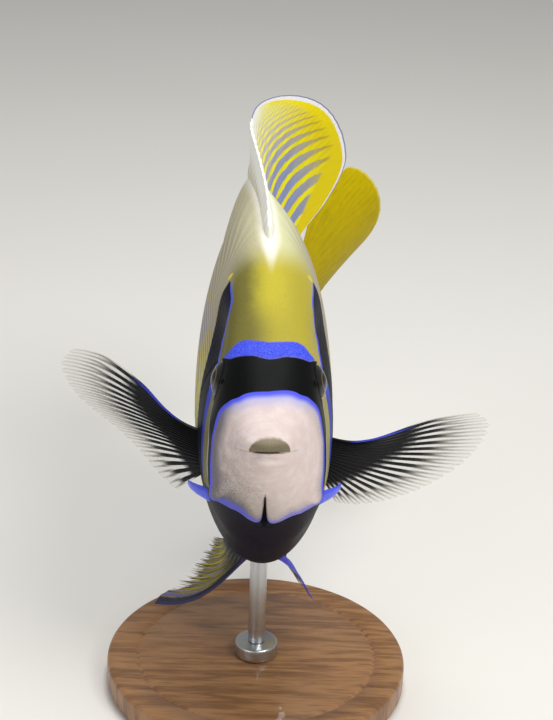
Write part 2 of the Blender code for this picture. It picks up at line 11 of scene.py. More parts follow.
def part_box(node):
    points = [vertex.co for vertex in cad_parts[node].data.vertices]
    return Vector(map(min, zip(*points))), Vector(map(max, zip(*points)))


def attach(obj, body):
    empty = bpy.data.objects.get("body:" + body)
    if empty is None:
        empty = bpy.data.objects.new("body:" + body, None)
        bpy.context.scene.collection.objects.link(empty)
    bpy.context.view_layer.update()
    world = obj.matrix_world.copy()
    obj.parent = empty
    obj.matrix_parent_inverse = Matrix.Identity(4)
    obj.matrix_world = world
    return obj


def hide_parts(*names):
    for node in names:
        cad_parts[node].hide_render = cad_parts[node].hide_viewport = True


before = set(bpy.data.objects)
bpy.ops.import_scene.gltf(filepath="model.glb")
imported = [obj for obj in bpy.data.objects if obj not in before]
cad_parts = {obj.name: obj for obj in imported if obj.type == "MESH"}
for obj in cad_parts.values():
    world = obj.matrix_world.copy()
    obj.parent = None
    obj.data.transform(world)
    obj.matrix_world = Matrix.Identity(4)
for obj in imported:
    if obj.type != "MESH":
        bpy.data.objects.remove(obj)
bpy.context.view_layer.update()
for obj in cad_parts.values():
    obj.select_set(False)
print("frame loaded")

# The pose: the same bent centre line as the solids'
fishPose = {
    "percent": 0.0026,
    "mouthHeight": 0.167,
    "noseUp": 15.0,
    "trunkSwing": 5.0,
    "tailSwing": 25.0,
    "tailFlick": 14.5,
    "tailLift": 11.5,
    "tailRoll": 4.2,
    "tailTwist": 17.4,
    # where each bend starts, and over how much of the fish it comes
    "swing": (12.0, 36.0),
    "lift": (22.0, 60.0),
    "tail": (43.0, 75.0),
    "flick": (78.0, 24.0),
    "twist": (62.0, 56.0),
    "rodStation": 44.0,
    "spineHeight": 5.0,
    "spineStart": -5.0,
    "spineStep": 0.5,
    "spineSteps": 270,
}
sides = ((1, "left"), (-1, "right"))
# back, top, bottom, half width, widest height, roundness of the top and of the bottom
bodyStations = (
    (0.0, 0.9, -0.9, 0.6, 0.0, 2.0, 2.0),
    (0.6, 2.1, -2.2, 2.6, 0.0, 2.2, 2.2),
    (1.8, 3.5, -3.7, 3.7, 0.0, 2.4, 2.4),
    (4.0, 5.6, -6.4, 5.0, -0.3, 2.6, 2.4),
    (7.0, 8.3, -9.7, 6.5, -1.0, 2.8, 2.5),
    (11.0, 12.2, -13.2, 8.4, -2.5, 2.9, 2.6),
    (16.0, 16.6, -16.7, 9.6, -4.2, 3.0, 2.4),
    (22.0, 21.6, -20.9, 10.1, -4.0, 2.9, 2.0),
    (28.0, 26.0, -24.2, 10.7, -3.0, 2.7, 2.0),
    (34.0, 29.8, -25.8, 11.4, -2.0, 2.25, 2.0),
    (43.0, 34.2, -26.4, 11.6, -1.0, 2.0, 1.85),
    (53.0, 36.8, -25.2, 10.5, 0.0, 1.6, 1.85),
    (63.0, 36.6, -22.6, 8.5, 1.5, 1.6, 1.9),
    (72.0, 32.6, -17.6, 6.5, 2.5, 1.4, 1.9),
    (80.0, 25.4, -11.4, 5.1, 3.5, 1.4, 2.0),
    (86.0, 18.2, -6.2, 3.9, 4.2, 1.6, 2.0),
    (92.0, 12.4, -2.9, 2.9, 4.5, 1.9, 2.0),
    (97.0, 10.6, -2.0, 2.1, 4.4, 2.0, 2.0),
    (101.0, 10.4, -1.8, 1.2, 4.3, 2.0, 2.0),
)
# shallow hollows behind and round the eye: back, up, how far they reach both ways, and the share
# of the width that they take
sideHollows = ((25.0, 13.0, 7.0, 6.5, 0.22), (18.5, 7.0, 6.0, 6.0, 0.12))


def eased(t):
    t = np.clip(t, 0, 1)
    return t * t * (3 - 2 * t)


def bell(x):
    return np.exp(-(x**2))


def step(x, at):
    # from 0 to 1, starting at the first of two numbers and taking the second
    return eased((x - at[0]) / at[1])


def hump(x, at):
    # 1 at the first of two numbers, and gone about twice the second away from it
    return bell((x - at[0]) / at[1])


def through(points, t):
    # a smooth line through (t, value...) points, read at every t
    points = np.asarray(points, float)
    keys, values = points[:, 0], points[:, 1:]
    t = np.clip(np.asarray(t, float), keys[0], keys[-1])
    i = np.clip(np.searchsorted(keys, t) - 1, 0, len(keys) - 2)
    j = np.arange(len(keys))
    before, after = np.maximum(j - 1, 0), np.minimum(j + 1, len(keys) - 1)
    slopes = (values[after] - values[before]) / (keys[after] - keys[before])[:, None]
    span = (keys[i + 1] - keys[i])[..., None]
    x = ((t - keys[i])[..., None]) / span
    return (
        values[i] * (2 * x**3 - 3 * x**2 + 1)
        + values[i + 1] * (3 * x**2 - 2 * x**3)
        + slopes[i] * span * (x**3 - 2 * x**2 + x)
        + slopes[i + 1] * span * (x**3 - x**2)
    )


def lineAt(points, t):
    return through(points, t)[..., 0]


def spineAngles(back):
    p = fishPose
    swing = -p["trunkSwing"] * step(back, p["swing"])
    swing = swing + (p["tailSwing"] + p["trunkSwing"]) * step(back, p["tail"])
    swing = swing + p["tailFlick"] * step(back, p["flick"])
    bent = step(back, p["lift"])
    roll = p["tailRoll"] * bent - p["tailTwist"] * step(back, p["twist"])
    return np.radians(swing), np.radians(p["tailLift"] * bent), np.radians(roll)


def spineLine():
    p = fishPose
    swing, lift, _ = spineAngles(
        p["spineStart"] + (np.arange(p["spineSteps"]) + 0.5) * p["spineStep"]
    )
    go = np.stack([np.sin(swing) * np.cos(lift), np.cos(swing) * np.cos(lift), np.sin(lift)], -1)
    first = np.array([[0, p["spineStart"], p["spineHeight"]]], float)
    return np.vstack([first, first + np.cumsum(go * p["spineStep"], axis=0)])


spinePoints = spineLine()


def onBentFish(back, up, left):
    back, up, left = np.broadcast_arrays(*(np.asarray(v, float) for v in (back, up, left)))
    along = (back - fishPose["spineStart"]) / fishPose["spineStep"]
    i = np.clip(along.astype(int), 0, len(spinePoints) - 2)
    centre = spinePoints[i] + (spinePoints[i + 1] - spinePoints[i]) * (along - i)[..., None]
    swing, lift, roll = spineAngles(back)
    rise = up - fishPose["spineHeight"]
    out = left * np.cos(roll) - rise * np.sin(roll)
    rise = left * np.sin(roll) + rise * np.cos(roll)
    toLeft = np.stack([np.cos(swing), -np.sin(swing), np.zeros_like(swing)], -1)
    upward = np.stack(
        [-np.sin(lift) * np.sin(swing), -np.sin(lift) * np.cos(swing), np.cos(lift)], -1
    )
    return centre + toLeft * out[..., None] + upward * rise[..., None]


noseTurn = np.array(Matrix.Rotation(math.radians(-fishPose["noseUp"]), 3, "X"))
bellyUp = lineAt([(s[0], s[2]) for s in bodyStations], fishPose["rodStation"])
bellyPoint = noseTurn @ onBentFish(fishPose["rodStation"], bellyUp, 0) * fishPose["percent"]
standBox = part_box("stand_base")
standCentre = (standBox[0] + standBox[1]) / 2
fishShift = np.array(
    [standCentre.x - bellyPoint[0], standCentre.y - bellyPoint[1], fishPose["mouthHeight"]]
)


def place(back, up, left):
    return onBentFish(back, up, left) @ noseTurn.T * fishPose["percent"] + fishShift


def hollowed(back, up):
    left = 1.0
    for atBack, atUp, reachBack, reachUp, share in sideHollows:
        far = np.hypot((back - atBack) / reachBack, (up - atUp) / reachUp)
        left = left * (1 - share * bell(far))
    return left


def sectionAt(back):
    return np.moveaxis(through(bodyStations, back), -1, 0)


def crestAt(back):
    return lineAt([(s[0], s[1]) for s in bodyStations], back)


def skinPoint(back, angle):
    # up and left on the skin at an angle round the section
    top, bottom, half, widest, roundTop, roundBottom = sectionAt(back)
    c, s = np.cos(angle), np.sin(angle)
    roundness = np.where(s >= 0, roundTop, roundBottom)
    reach = np.where(s >= 0, top - widest, widest - bottom)
    out = half * np.sign(c) * np.abs(c) ** (2 / roundness)
    up = widest + reach * np.sign(s) * np.abs(s) ** (2 / roundness)
    return up, out * hollowed(back, up)


def halfWidthAt(back, up):
    top, bottom, half, widest, roundTop, roundBottom = sectionAt(back)
    above = up >= widest
    share = np.where(above, (up - widest) / (top - widest), (widest - up) / (widest - bottom))
    roundness = np.where(above, roundTop, roundBottom)
    kept = np.maximum(1 - np.clip(share, 0, 1) ** roundness, 0)
    return half * kept ** (1 / roundness) * hollowed(back, up)


def bellyHeight(back, out):
    _, bottom, half, widest, _, roundness = sectionAt(back)
    return widest - (widest - bottom) * (1 - (out / half) ** roundness) ** (1 / roundness)


# Tools for meshes


def verticesOf(obj):
    co = np.empty(len(obj.data.vertices) * 3)
    obj.data.vertices.foreach_get("co", co)
    return co.reshape(-1, 3)


def putVertices(obj, co):
    obj.data.vertices.foreach_set("co", np.asarray(co, np.float32).ravel())
    obj.data.update()


def smooth(obj, co):
    # a closed form from a ball's moved points
    putVertices(obj, co)
    faceOut(obj)
    obj.data.shade_smooth()


def keep(obj, name, values):
    # numbers or places kept at each point, which the finishes read
    values = np.asarray(values, np.float32)
    kind, slot = ("FLOAT", "value") if values.ndim == 1 else ("FLOAT_VECTOR", "vector")
    attribute = obj.data.attributes.new(name, kind, "POINT")
    attribute.data.foreach_set(slot, values.ravel())


def onlySelect(obj):
    bpy.ops.object.select_all(action="DESELECT")
    obj.select_set(True)
    bpy.context.view_layer.objects.active = obj


def added(name):
    obj = bpy.context.object
    obj.name = obj.data.name = name
    return obj


def newBall(name, segments, rings):
    bpy.ops.object.select_all(action="DESELECT")
    bpy.ops.mesh.primitive_uv_sphere_add(segments=segments, ring_count=rings, radius=1)
    return added(name)


def faceOut(obj):
    onlySelect(obj)
    bpy.ops.object.mode_set(mode="EDIT")
    bpy.ops.mesh.select_all(action="SELECT")
    bpy.ops.mesh.normals_make_consistent(inside=False)
    bpy.ops.object.mode_set(mode="OBJECT")


def applyAll(obj):
    onlySelect(obj)
    for modifier in list(obj.modifiers):
        bpy.ops.object.modifier_apply(modifier=modifier.name)


def join(obj, finish, slot, *nodes):
    # hands a finished piece to the frame
    obj.data.materials.clear()
    obj.data.materials.append(finish)
    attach(obj, "root")
    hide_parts(*nodes)


# Tools for finishes


def tint(red, green, blue):
    # a colour as a picture gives it, 0 to 255, for a shader
    def linear(c):
        c /= 255
        return c / 12.92 if c <= 0.04045 else ((c + 0.055) / 1.055) ** 2.4

    return (linear(red), linear(green), linear(blue), 1.0)


class Wire:
    # a socket, so that shader maths reads as sums
    def __init__(self, sheet, socket):
        self.sheet, self.socket = sheet, socket

    def maths(self, operation, first, second=None):
        sockets = {0: first} if second is None else {0: first, 1: second}
        return self.sheet.node("Math", {"operation": operation}, sockets)

    def __add__(self, other):
        return self.maths("ADD", self, other)

    def __sub__(self, other):
        return self.maths("SUBTRACT", self, other)

    def __rsub__(self, other):
        return self.maths("SUBTRACT", other, self)

    def __mul__(self, other):
        return self.maths("MULTIPLY", self, other)

    def __truediv__(self, other):
        return self.maths("DIVIDE", self, other)

    def __pow__(self, other):
        return self.maths("POWER", self, other)

    def __abs__(self):
        return self.maths("ABSOLUTE", self)

    __radd__ = __add__
    __rmul__ = __mul__


class Finish:
    # the node sheet of one material, whose colour is painted on in layers
    def __init__(self, name):
        self.material = bpy.data.materials.new(name)
        self.material.use_nodes = True
        self.tree = self.material.node_tree
        self.tree.nodes.clear()

    def node(self, kind, settings=None, sockets=None, out=0):
        made = self.tree.nodes.new("ShaderNode" + kind)
        for key, value in (settings or {}).items():
            setattr(made, key, value)
        for key, value in (sockets or {}).items():
            if isinstance(value, Wire):
                self.tree.links.new(value.socket, made.inputs[key])
            else:
                made.inputs[key].default_value = value
        return Wire(self, made.outputs[out])

    def number(self, name):
        return self.node("Attribute", {"attribute_name": name}, out="Fac")

    def spot(self, name):
        return self.node("Attribute", {"attribute_name": name}, out="Vector")

    def numbers(self, names):
        return [self.number(name) for name in names.split()]

    def onObject(self):
        return self.node("TexCoord", out="Object")

    def pair(self, first, second):
        return self.node("CombineXYZ", sockets={0: first, 1: second})

    def split(self, vector):
        parts = self.node("SeparateXYZ", sockets={0: vector})
        return [Wire(self, s) for s in parts.socket.node.outputs]

    def stretched(self, vector, scale):
        return self.node("Mapping", sockets={"Vector": vector, "Scale": scale})

    def edge(self, value, start, end):
        # 0 before start, 1 after end, smooth between
        settings = {"interpolation_type": "SMOOTHSTEP"}
        return self.node("MapRange", settings, {0: value, 1: start, 2: end})

    def fraction(self, value):
        return value.maths("FRACT", value)

    def least(self, first, second):
        return first.maths("MINIMUM", first, second)

    def most(self, first, second):
        return first.maths("MAXIMUM", first, second)

    def bars(self, value, narrow, wide, thin=0):
        # 1 on the line midway between whole numbers, and 0 away from it
        return 1 - self.edge(abs(self.fraction(value) - 0.5) + thin, narrow, wide)

    def over(self, share, under, colour):
        # plain colours are given as in a picture
        under, colour = (c if isinstance(c, Wire) else tint(*c) for c in (under, colour))
        return self.node("Mix", {"data_type": "RGBA"}, {0: share, 6: under, 7: colour}, 2)

    def paint(self, share, colour):
        self.colour = self.over(share, self.colour, colour)

    def between(self, share, first, second):
        return self.node("Mix", {"data_type": "FLOAT"}, {0: share, 2: first, 3: second})

    def speckle(self, vector, scale, detail=3.0, roughness=0.5):
        sockets = {"Vector": vector, "Scale": scale, "Detail": detail, "Roughness": roughness}
        return self.node("TexNoise", sockets=sockets, out="Fac")

    def cells(self, vector, scale):
        return self.node("TexVoronoi", sockets={"Vector": vector, "Scale": scale}, out="Distance")

    def relief(self, height, strength, distance):
        sockets = {"Height": height, "Strength": strength, "Distance": distance}
        return self.node("Bump", sockets=sockets)

    def done(self, **sockets):
        names = {"Base Color": self.colour}
        names.update((key.replace("_", " "), value) for key, value in sockets.items())
        surface = self.node("BsdfPrincipled", sockets=names)
        result = self.tree.nodes.new("ShaderNodeOutputMaterial")
        self.tree.links.new(surface.socket, result.inputs["Surface"])
        return self.material


# The skin, one closed surface from lips to tail

skin = {
    "segments": 240,
    "rings": 350,
    "capRings": 8,  # in front of the first station, round the mouth
    "spacing": ((0, 0.11), (3, 0.16), (8, 0.25), (20, 0.28), (34, 0.36), (60, 0.56), (101, 0.56)),
    "readings": (8001, 1.6),  # along the fish, and how much closer together toward the mouth
    "sideReadings": 1601,
    "tailFade": (96.0, 5.2),  # where the flesh thins to nothing, and over how much
    "upperLip": {"middle": (0.9, 1.2), "size": (2.1, 1.2, 4.0), "lift": -0.02},
    "lowerLip": {"middle": (1.2, -1.3), "size": (2.1, 1.05, 4.0), "lift": -0.02},
    "lipSweep": 0.15,
    "lipBlend": 0.25,
    "lipsEnd": (3.4, 1.2),  # how far back the mouth's shape reaches, and over how much it fades
    "mouthSlit": {"up": 0.14, "bend": -0.02, "half": 2.1, "fade": 0.9, "open": 0.1, "deep": 0.6},
    "eye": {
        "back": 16.8, "up": 8.3, "radius": 3.1, "socket": 1.3, "socketEdge": (-0.85, 0.75),
        "rim": 0.2, "rimAt": (0.2, 0.4),
    },
    "nostrils": ((12.0, 8.7, 0.34), (13.1, 8.4, 0.26)),  # back, up, size
    "nostril": {"deep": 0.5, "rim": 0.12, "rimAt": (1.5, 0.5)},
    "cover": {
        "back": 25.6, "up": -1.6, "half": (5.4, 11.4), "tilt": 8.0, "rear": (-1.5, 4.0),
        "raise": 0.2, "raiseEdge": (-0.3, 0.5), "groove": 0.16, "grooveAt": (0.35, 0.3),
    },
    "throat": {
        "start": (5.0, 1.2), "end": (11.0, 1.5), "deep": 1.5,
        "width": ((5, 0.16), (8, 0.24), (12, 0.5)),
    },
    "chinLobe": {"out": 1.9, "back": 8.8, "reach": (1.2, 2.4), "raise": 0.45},
    "sideFrom": 3.0,  # nostrils are outward of this
    "underFrom": -3.0,  # and the throat and chin below this
    "tailEnd": 0.05,
}
# Edges of the head's colours: degrees over the level through (up -1), and how far back
snoutEdge = (
    (-90, 10.2), (-87, 10.6), (-84, 10.75), (-80, 10.35), (-76, 10.05), (-70, 9.85), (-65, 10.0),
    (-62, 10.4), (-57, 11.0), (-51, 12.9), (-48.5, 16.2), (-46.5, 16.9), (-44, 15.9), (-41, 14.6),
    (-37, 13.6), (-31, 13.0), (-22, 12.8), (-12, 12.6), (-2, 12.5), (6, 12.35), (17, 11.7),
    (26, 11.25), (35, 10.65), (42, 9.8), (48, 8.95), (53, 8.4), (60, 7.6), (67, 7.35), (75, 7.1),
    (82, 6.95), (90, 6.87),
)
snoutRim = (
    (-90, 0.5), (-60, 0.7), (-45, 1.2), (-20, 0.85), (10, 0.8), (35, 0.9), (60, 0.75), (90, 0.7),
)
browTop = (
    (60, 16.4), (62.5, 15.6), (65, 15.0), (68, 14.85), (72, 14.8), (77, 14.5), (82, 14.1),
    (90, 13.85),
)
browBottom = (
    (60, 16.3), (62, 15.0), (64.5, 13.6), (70, 12.7), (76, 12.15), (80.5, 11.9), (84, 11.6),
    (87, 11.45), (90, 11.35),
)
maskRear = (
    (-90, 14.6), (-36, 14.6), (-30, 14.35), (-20, 14.45), (-7, 14.3), (3, 14.4), (13, 16.0),
    (22, 18.0), (30, 19.4), (38, 20.2), (46, 20.4), (52, 19.2), (57, 17.6), (60, 16.3),
    (62, 15.0), (64.5, 13.6), (70, 12.7), (76, 12.15), (80.5, 11.9), (84, 11.6), (87, 11.45),
    (90, 11.35),
)
# The flank's stripes fan out from behind the head between these two lines: back, up
stripeLines = {
    "low": ((24, -22), (43, -25), (60, -24), (80, -19), (101, -12)),
    "high": ((24, 4), (28, 13), (34, 25), (43, 33.5), (53, 39), (63, 42.5), (80, 48.5), (101, 55)),
    "count": 29,
}
# The shoulder patch: up, and how far back its front and its rear are
patchFront = (
    (-30, 28.4), (-14, 28.2), (-8, 27.6), (-3, 26.6), (1, 26.0), (5, 26.0), (8, 26.6), (11, 27.3),
    (13.2, 27.3), (14.9, 26.0), (16.8, 24.3), (18.2, 24.0), (20, 24.9), (21.8, 27.4), (24, 30.0),
    (34, 37.5),
)
patchRear = (
    (-14, 31.5), (-10, 34.0), (-6, 34.4), (-2, 33.8), (2, 33.0), (6, 32.6), (9.5, 32.4),
    (12.9, 32.0), (15, 31.4), (17.6, 30.6), (20.5, 29.8), (22.2, 28.9),
)
# The dark breast's outline: back, up
darkBreast = (
    (4, -5.5), (9, -7.6), (14, -8.6), (18, -8.9), (22, -9.4), (26, -10.4), (31, -12.0),
    (35, -14.6), (37.6, -18.5), (38.6, -22), (39, -34), (4, -34),
)
markings = {
    "faceSlant": 0.085,  # how much further back they sit toward the fish's left
    "sideSlant": 0.11,
    "browFrom": 61.5,  # degrees, as above
    "browFade": 0.3,
    "maskTop": 57.0,
    "patchEnds": (-13.5, 22.6),
}


def ringPlaces():
    # (back, share of the section's size) of each ring of the skin
    rings, cap = skin["rings"] - 1, skin["capRings"]
    readings, crowding = skin["readings"]
    fine = bodyStations[-1][0] * np.linspace(0, 1, readings) ** crowding
    section = through(bodyStations, fine)
    line = np.column_stack([fine, section[:, 2], section[:, 0] / 2, section[:, 1] / 2])
    steps = np.diff(line, axis=0)
    middle = (fine[1:] + fine[:-1]) / 2
    keys, spacing = zip(*skin["spacing"])
    lengths = np.linalg.norm(steps, axis=1) / np.interp(middle, keys, spacing)
    count = np.concatenate([[0], np.cumsum(lengths)])
    back = np.interp(np.linspace(0, count[-1], rings - cap), count, fine)
    size = np.concatenate([np.arange(1, cap + 1) / (cap + 1), np.ones(rings - cap)])
    return np.concatenate([np.zeros(cap), back]), size


def skinGrid():
    # back, up and left of every ring's points, evenly spaced round each section
    half = skin["segments"] // 2
    backs, sizes = ringPlaces()
    angle = math.pi / 2 - math.pi * np.linspace(0, 1, skin["sideReadings"])
    grid = np.zeros((len(backs), skin["segments"], 3))
    for r, (back, size) in enumerate(zip(backs, sizes)):
        up, left = skinPoint(np.full(angle.shape, back), angle)
        along = np.concatenate([[0], np.cumsum(np.hypot(np.diff(up), np.diff(left)))])
        at = np.linspace(0, along[-1], half + 1)
        sideUp, sideLeft = np.interp(at, along, up), np.interp(at, along, left)
        start, length = skin["tailFade"]
        thin = math.sqrt(max(1 - max((back - start) / length, 0) ** 2, 0))
        # segment 0 is the top, and the left side comes first
        side = [np.full(half + 1, back), sideUp * size, sideLeft * size * thin]
        grid[r, : half + 1] = np.column_stack(side)
        grid[r, half:] = grid[r, half::-1][: half]
        grid[r, half + 1 :, 2] *= -1
        grid[r, half] = (back, up[-1] * size, 0)
    return grid


def polygonDistance(x, y, corners):
    # distance to a closed outline, below 0 inside it
    corners = np.array(corners, float)
    nearest, inside = np.full(x.shape, 1e9), np.zeros(x.shape, bool)
    for a, b in zip(corners, np.roll(corners, -1, axis=0)):
        run = b - a
        share = np.clip(((x - a[0]) * run[0] + (y - a[1]) * run[1]) / (run @ run), 0, 1)
        far = np.hypot(x - a[0] - run[0] * share, y - a[1] - run[1] * share)
        nearest = np.minimum(nearest, far)
        crosses = ((a[1] > y) != (b[1] > y)) & (x < run[0] * (y - a[1]) / (run[1] or 1e-9) + a[0])
        inside ^= crosses
    return np.where(inside, -nearest, nearest)


def lipFront(lip, up, left):
    # how far back the front of a lip is, and far behind where there is none
    (middleBack, middleUp), (deep, tall, wide), lift = lip["middle"], lip["size"], lip["lift"]
    taper = np.sqrt(np.clip(1 - (left / wide) ** 2, 0, 1))
    share = (up - middleUp - lift * left**2) / np.maximum(tall * taper, 1e-6)
    middle = middleBack + skin["lipSweep"] * left**2
    front = middle - deep * taper * np.sqrt(np.clip(1 - share**2, 0, 1))
    return np.where((np.abs(share) < 1) & (taper > 0), front, middle + 4)


def softLeast(a, b, blend):
    h = np.clip(0.5 + 0.5 * (b - a) / blend, 0, 1)
    return b + (a - b) * h - blend * h * (1 - h)


def coverPlace(back, up):
    # distance outside the gill cover's edge, and the share of its rear half
    c = skin["cover"]
    tilt = math.radians(c["tilt"])
    x = (back - c["back"]) * math.cos(tilt) + (up - c["up"]) * math.sin(tilt)
    y = -(back - c["back"]) * math.sin(tilt) + (up - c["up"]) * math.cos(tilt)
    a, b = c["half"]
    reach = np.hypot(x / a, y / b)
    steep = np.hypot(x / a**2, y / b**2) / np.maximum(reach, 1e-6)
    return (reach - 1) / np.maximum(steep, 1e-3), step(x, c["rear"])


def mouthShape(grid):
    # how far back each point is, with the lips and the slit between them
    back, up, left = np.moveaxis(grid, -1, 0)
    end, fade = skin["lipsEnd"]
    near = eased((end - back) / fade)
    for lip in (skin["upperLip"], skin["lowerLip"]):
        back = back + (softLeast(back, lipFront(lip, up, left), skin["lipBlend"]) - back) * near
    slit = skin["mouthSlit"]
    across = (up - slit["up"] - slit["bend"] * left**2) / slit["open"]
    ends = eased((slit["half"] - np.abs(left)) / slit["fade"])
    return back + slit["deep"] * bell(across) * ends * near


def skinRise(back, up, out):
    # how far the skin stands proud of its section, or below 0 lies under it
    eye, nostril, cover = skin["eye"], skin["nostril"], skin["cover"]
    throat, lobe = skin["throat"], skin["chinLobe"]
    far = np.hypot(back - eye["back"], up - eye["up"]) - eye["radius"]
    rise = eye["rim"] * hump(far, eye["rimAt"])
    rise -= eye["socket"] * (1 - step(far, eye["socketEdge"]))
    for nostrilBack, nostrilUp, size in skin["nostrils"]:
        far = np.hypot(back - nostrilBack, up - nostrilUp) / size
        hollow = nostril["rim"] * hump(far, nostril["rimAt"]) - nostril["deep"] * bell(far)
        rise += np.where(out > skin["sideFrom"], hollow, 0)
    outside, rear = coverPlace(back, up)
    rise += cover["raise"] * (1 - step(outside, cover["raiseEdge"])) * rear
    rise -= cover["groove"] * hump(outside, cover["grooveAt"]) * rear
    run = step(back, throat["start"]) * (1 - step(back, throat["end"]))
    slit = throat["deep"] * bell(out / lineAt(throat["width"], back)) * run
    wide, long = lobe["reach"]
    chin = lobe["raise"] * bell(np.hypot((out - lobe["out"]) / wide, (back - lobe["back"]) / long))
    return rise + np.where(up < skin["underFrom"], chin - slit, 0)


def makeSkin():
    segments, rings = skin["segments"], skin["rings"]
    obj = newBall("skin", segments, rings)
    ball = verticesOf(obj)
    ring = np.rint(np.arccos(np.clip(ball[:, 2], -1, 1)) / math.pi * rings).astype(int)
    turn = np.pi / 2 - np.arctan2(ball[:, 1], ball[:, 0])
    segment = np.rint(turn / (2 * np.pi) * segments).astype(int) % segments
    grid = skinGrid()
    up, left = grid[..., 1], grid[..., 2]
    back = mouthShape(grid)
    points = place(back, up, left)
    across = np.roll(points, -1, axis=1) - np.roll(points, 1, axis=1)
    normal = np.cross(across, np.gradient(points, axis=0))
    normal /= np.maximum(np.linalg.norm(normal, axis=-1, keepdims=True), 1e-12)
    out = points - points.mean(axis=1, keepdims=True)
    normal *= np.sign(np.sum(normal * out, axis=-1).mean())
    rise = skinRise(grid[..., 0], up, np.abs(left)) * fishPose["percent"]
    points = points + normal * rise[..., None]
    # the ball's rings take the grid's places, and its poles close the mouth and the tail's root
    lastBack, lastUp = bodyStations[-1][0], bodyStations[-1][4]
    middle = (ring > 0) & (ring < rings)
    co, fish = np.empty_like(ball), np.empty_like(ball)
    co[middle] = points[ring[middle] - 1, segment[middle]]
    fish[middle] = grid[ring[middle] - 1, segment[middle]]
    co[ring == 0] = place(back[0].mean(), 0, 0)
    fish[ring == 0] = (0, 0, 0)
    co[ring == rings] = place(lastBack + skin["tailEnd"], lastUp, 0)
    fish[ring == rings] = (lastBack, lastUp, 0)
    smooth(obj, co)
    markSkin(obj, fish)
    return obj


def markSkin(obj, fish):
    # where the colours' edges are, kept at the points: below 0 inside a colour
    m = markings
    back, up, left = fish.T
    turn = np.degrees(np.arctan2(up + 1, np.maximum(np.abs(left), 1e-6)))
    face, side = back - m["faceSlant"] * left, back - m["sideSlant"] * left
    keep(obj, "fish", fish)
    keep(obj, "turn", turn)
    keep(obj, "snout", (face - lineAt(snoutEdge, turn)) / lineAt(snoutRim, turn))
    brow = np.maximum(back - lineAt(browTop, turn), lineAt(browBottom, turn) - back)
    keep(obj, "brow", np.maximum(brow, (m["browFrom"] - turn) * m["browFade"]))
    keep(obj, "mask", np.where(turn > m["maskTop"], back, face) - lineAt(maskRear, turn))
    fore = side - lineAt(patchFront, up)
    keep(obj, "fore", fore)
    patch = np.maximum(-fore, side - lineAt(patchRear, up))
    low, high = m["patchEnds"]
    keep(obj, "patch", np.maximum(np.maximum(patch, up - high), low - up))
    keep(obj, "breast", polygonDistance(back, up, darkBreast))
    low, high = lineAt(stripeLines["low"], back), lineAt(stripeLines["high"], back)
    keep(obj, "stripe", (up - low) / (high - low) * stripeLines["count"])


# Some of these are painted light: the darker of the olive, crest and rim pairs, the right-side
# and nostrils are painted shade; the left-side olive is painted light, and the crown and ridge
# colours are painted highlights
# olive and khaki, the snout's shade, chin, left shade and grain colours, and the dark slit, throat
skinColours = {
    "lilac": ((120, 122, 166), (160, 154, 182)), "yellow": ((190, 172, 20), (208, 190, 60)),
    "highLilac": (162, 155, 138), "highYellow": (190, 183, 152), "lowYellow": (236, 227, 22),
    "tailRoot": (186, 162, 8), "olive": ((178, 166, 60), (118, 112, 56)),
    "shadedOlive": (96, 90, 40), "litOlive": (182, 172, 112), "crownHighlight": (200, 187, 54),
    "oliveSpeck": (110, 102, 44), "khaki": ((140, 132, 74), (182, 172, 104)),
    "shadedKhaki": (92, 88, 58), "crest": ((218, 220, 178), (200, 195, 160)),
    "ridgeHighlight": (250, 249, 238), "dark": ((9, 12, 26), (18, 21, 36)),
    "blueLine": ((84, 100, 232), (48, 62, 176)), "tipSpot": (222, 208, 60),
    "paleLine": (184, 180, 186), "mask": ((5, 6, 7), (13, 14, 15)),
    "brow": ((44, 58, 206), (92, 108, 246)), "face": ((222, 204, 200), (230, 215, 211)),
    "shade": (142, 135, 127), "chin": (146, 138, 120), "rim": ((174, 166, 184), (100, 97, 112)),
    "upperRim": (172, 174, 222), "leftShade": (126, 120, 128), "shadeGrain": (92, 88, 96),
    "snoutEdge": (86, 94, 238), "wrinkle": (140, 120, 120), "lip": ((106, 98, 76), (140, 132, 106)),
    "lipEdge": (176, 164, 144), "slit": (38, 32, 28), "throat": (14, 13, 16), "nostril": (4, 4, 4),
}

# how fine each pattern is, for each percent of the fish
skinPatterns = {
    "mottle": 0.55, "fine": 5.0, "wobble": 1.4, "shadeGrain": 4.2, "scales": 1.75, "headScales": 3.2,
    "scaleHeight": 0.0005,
}


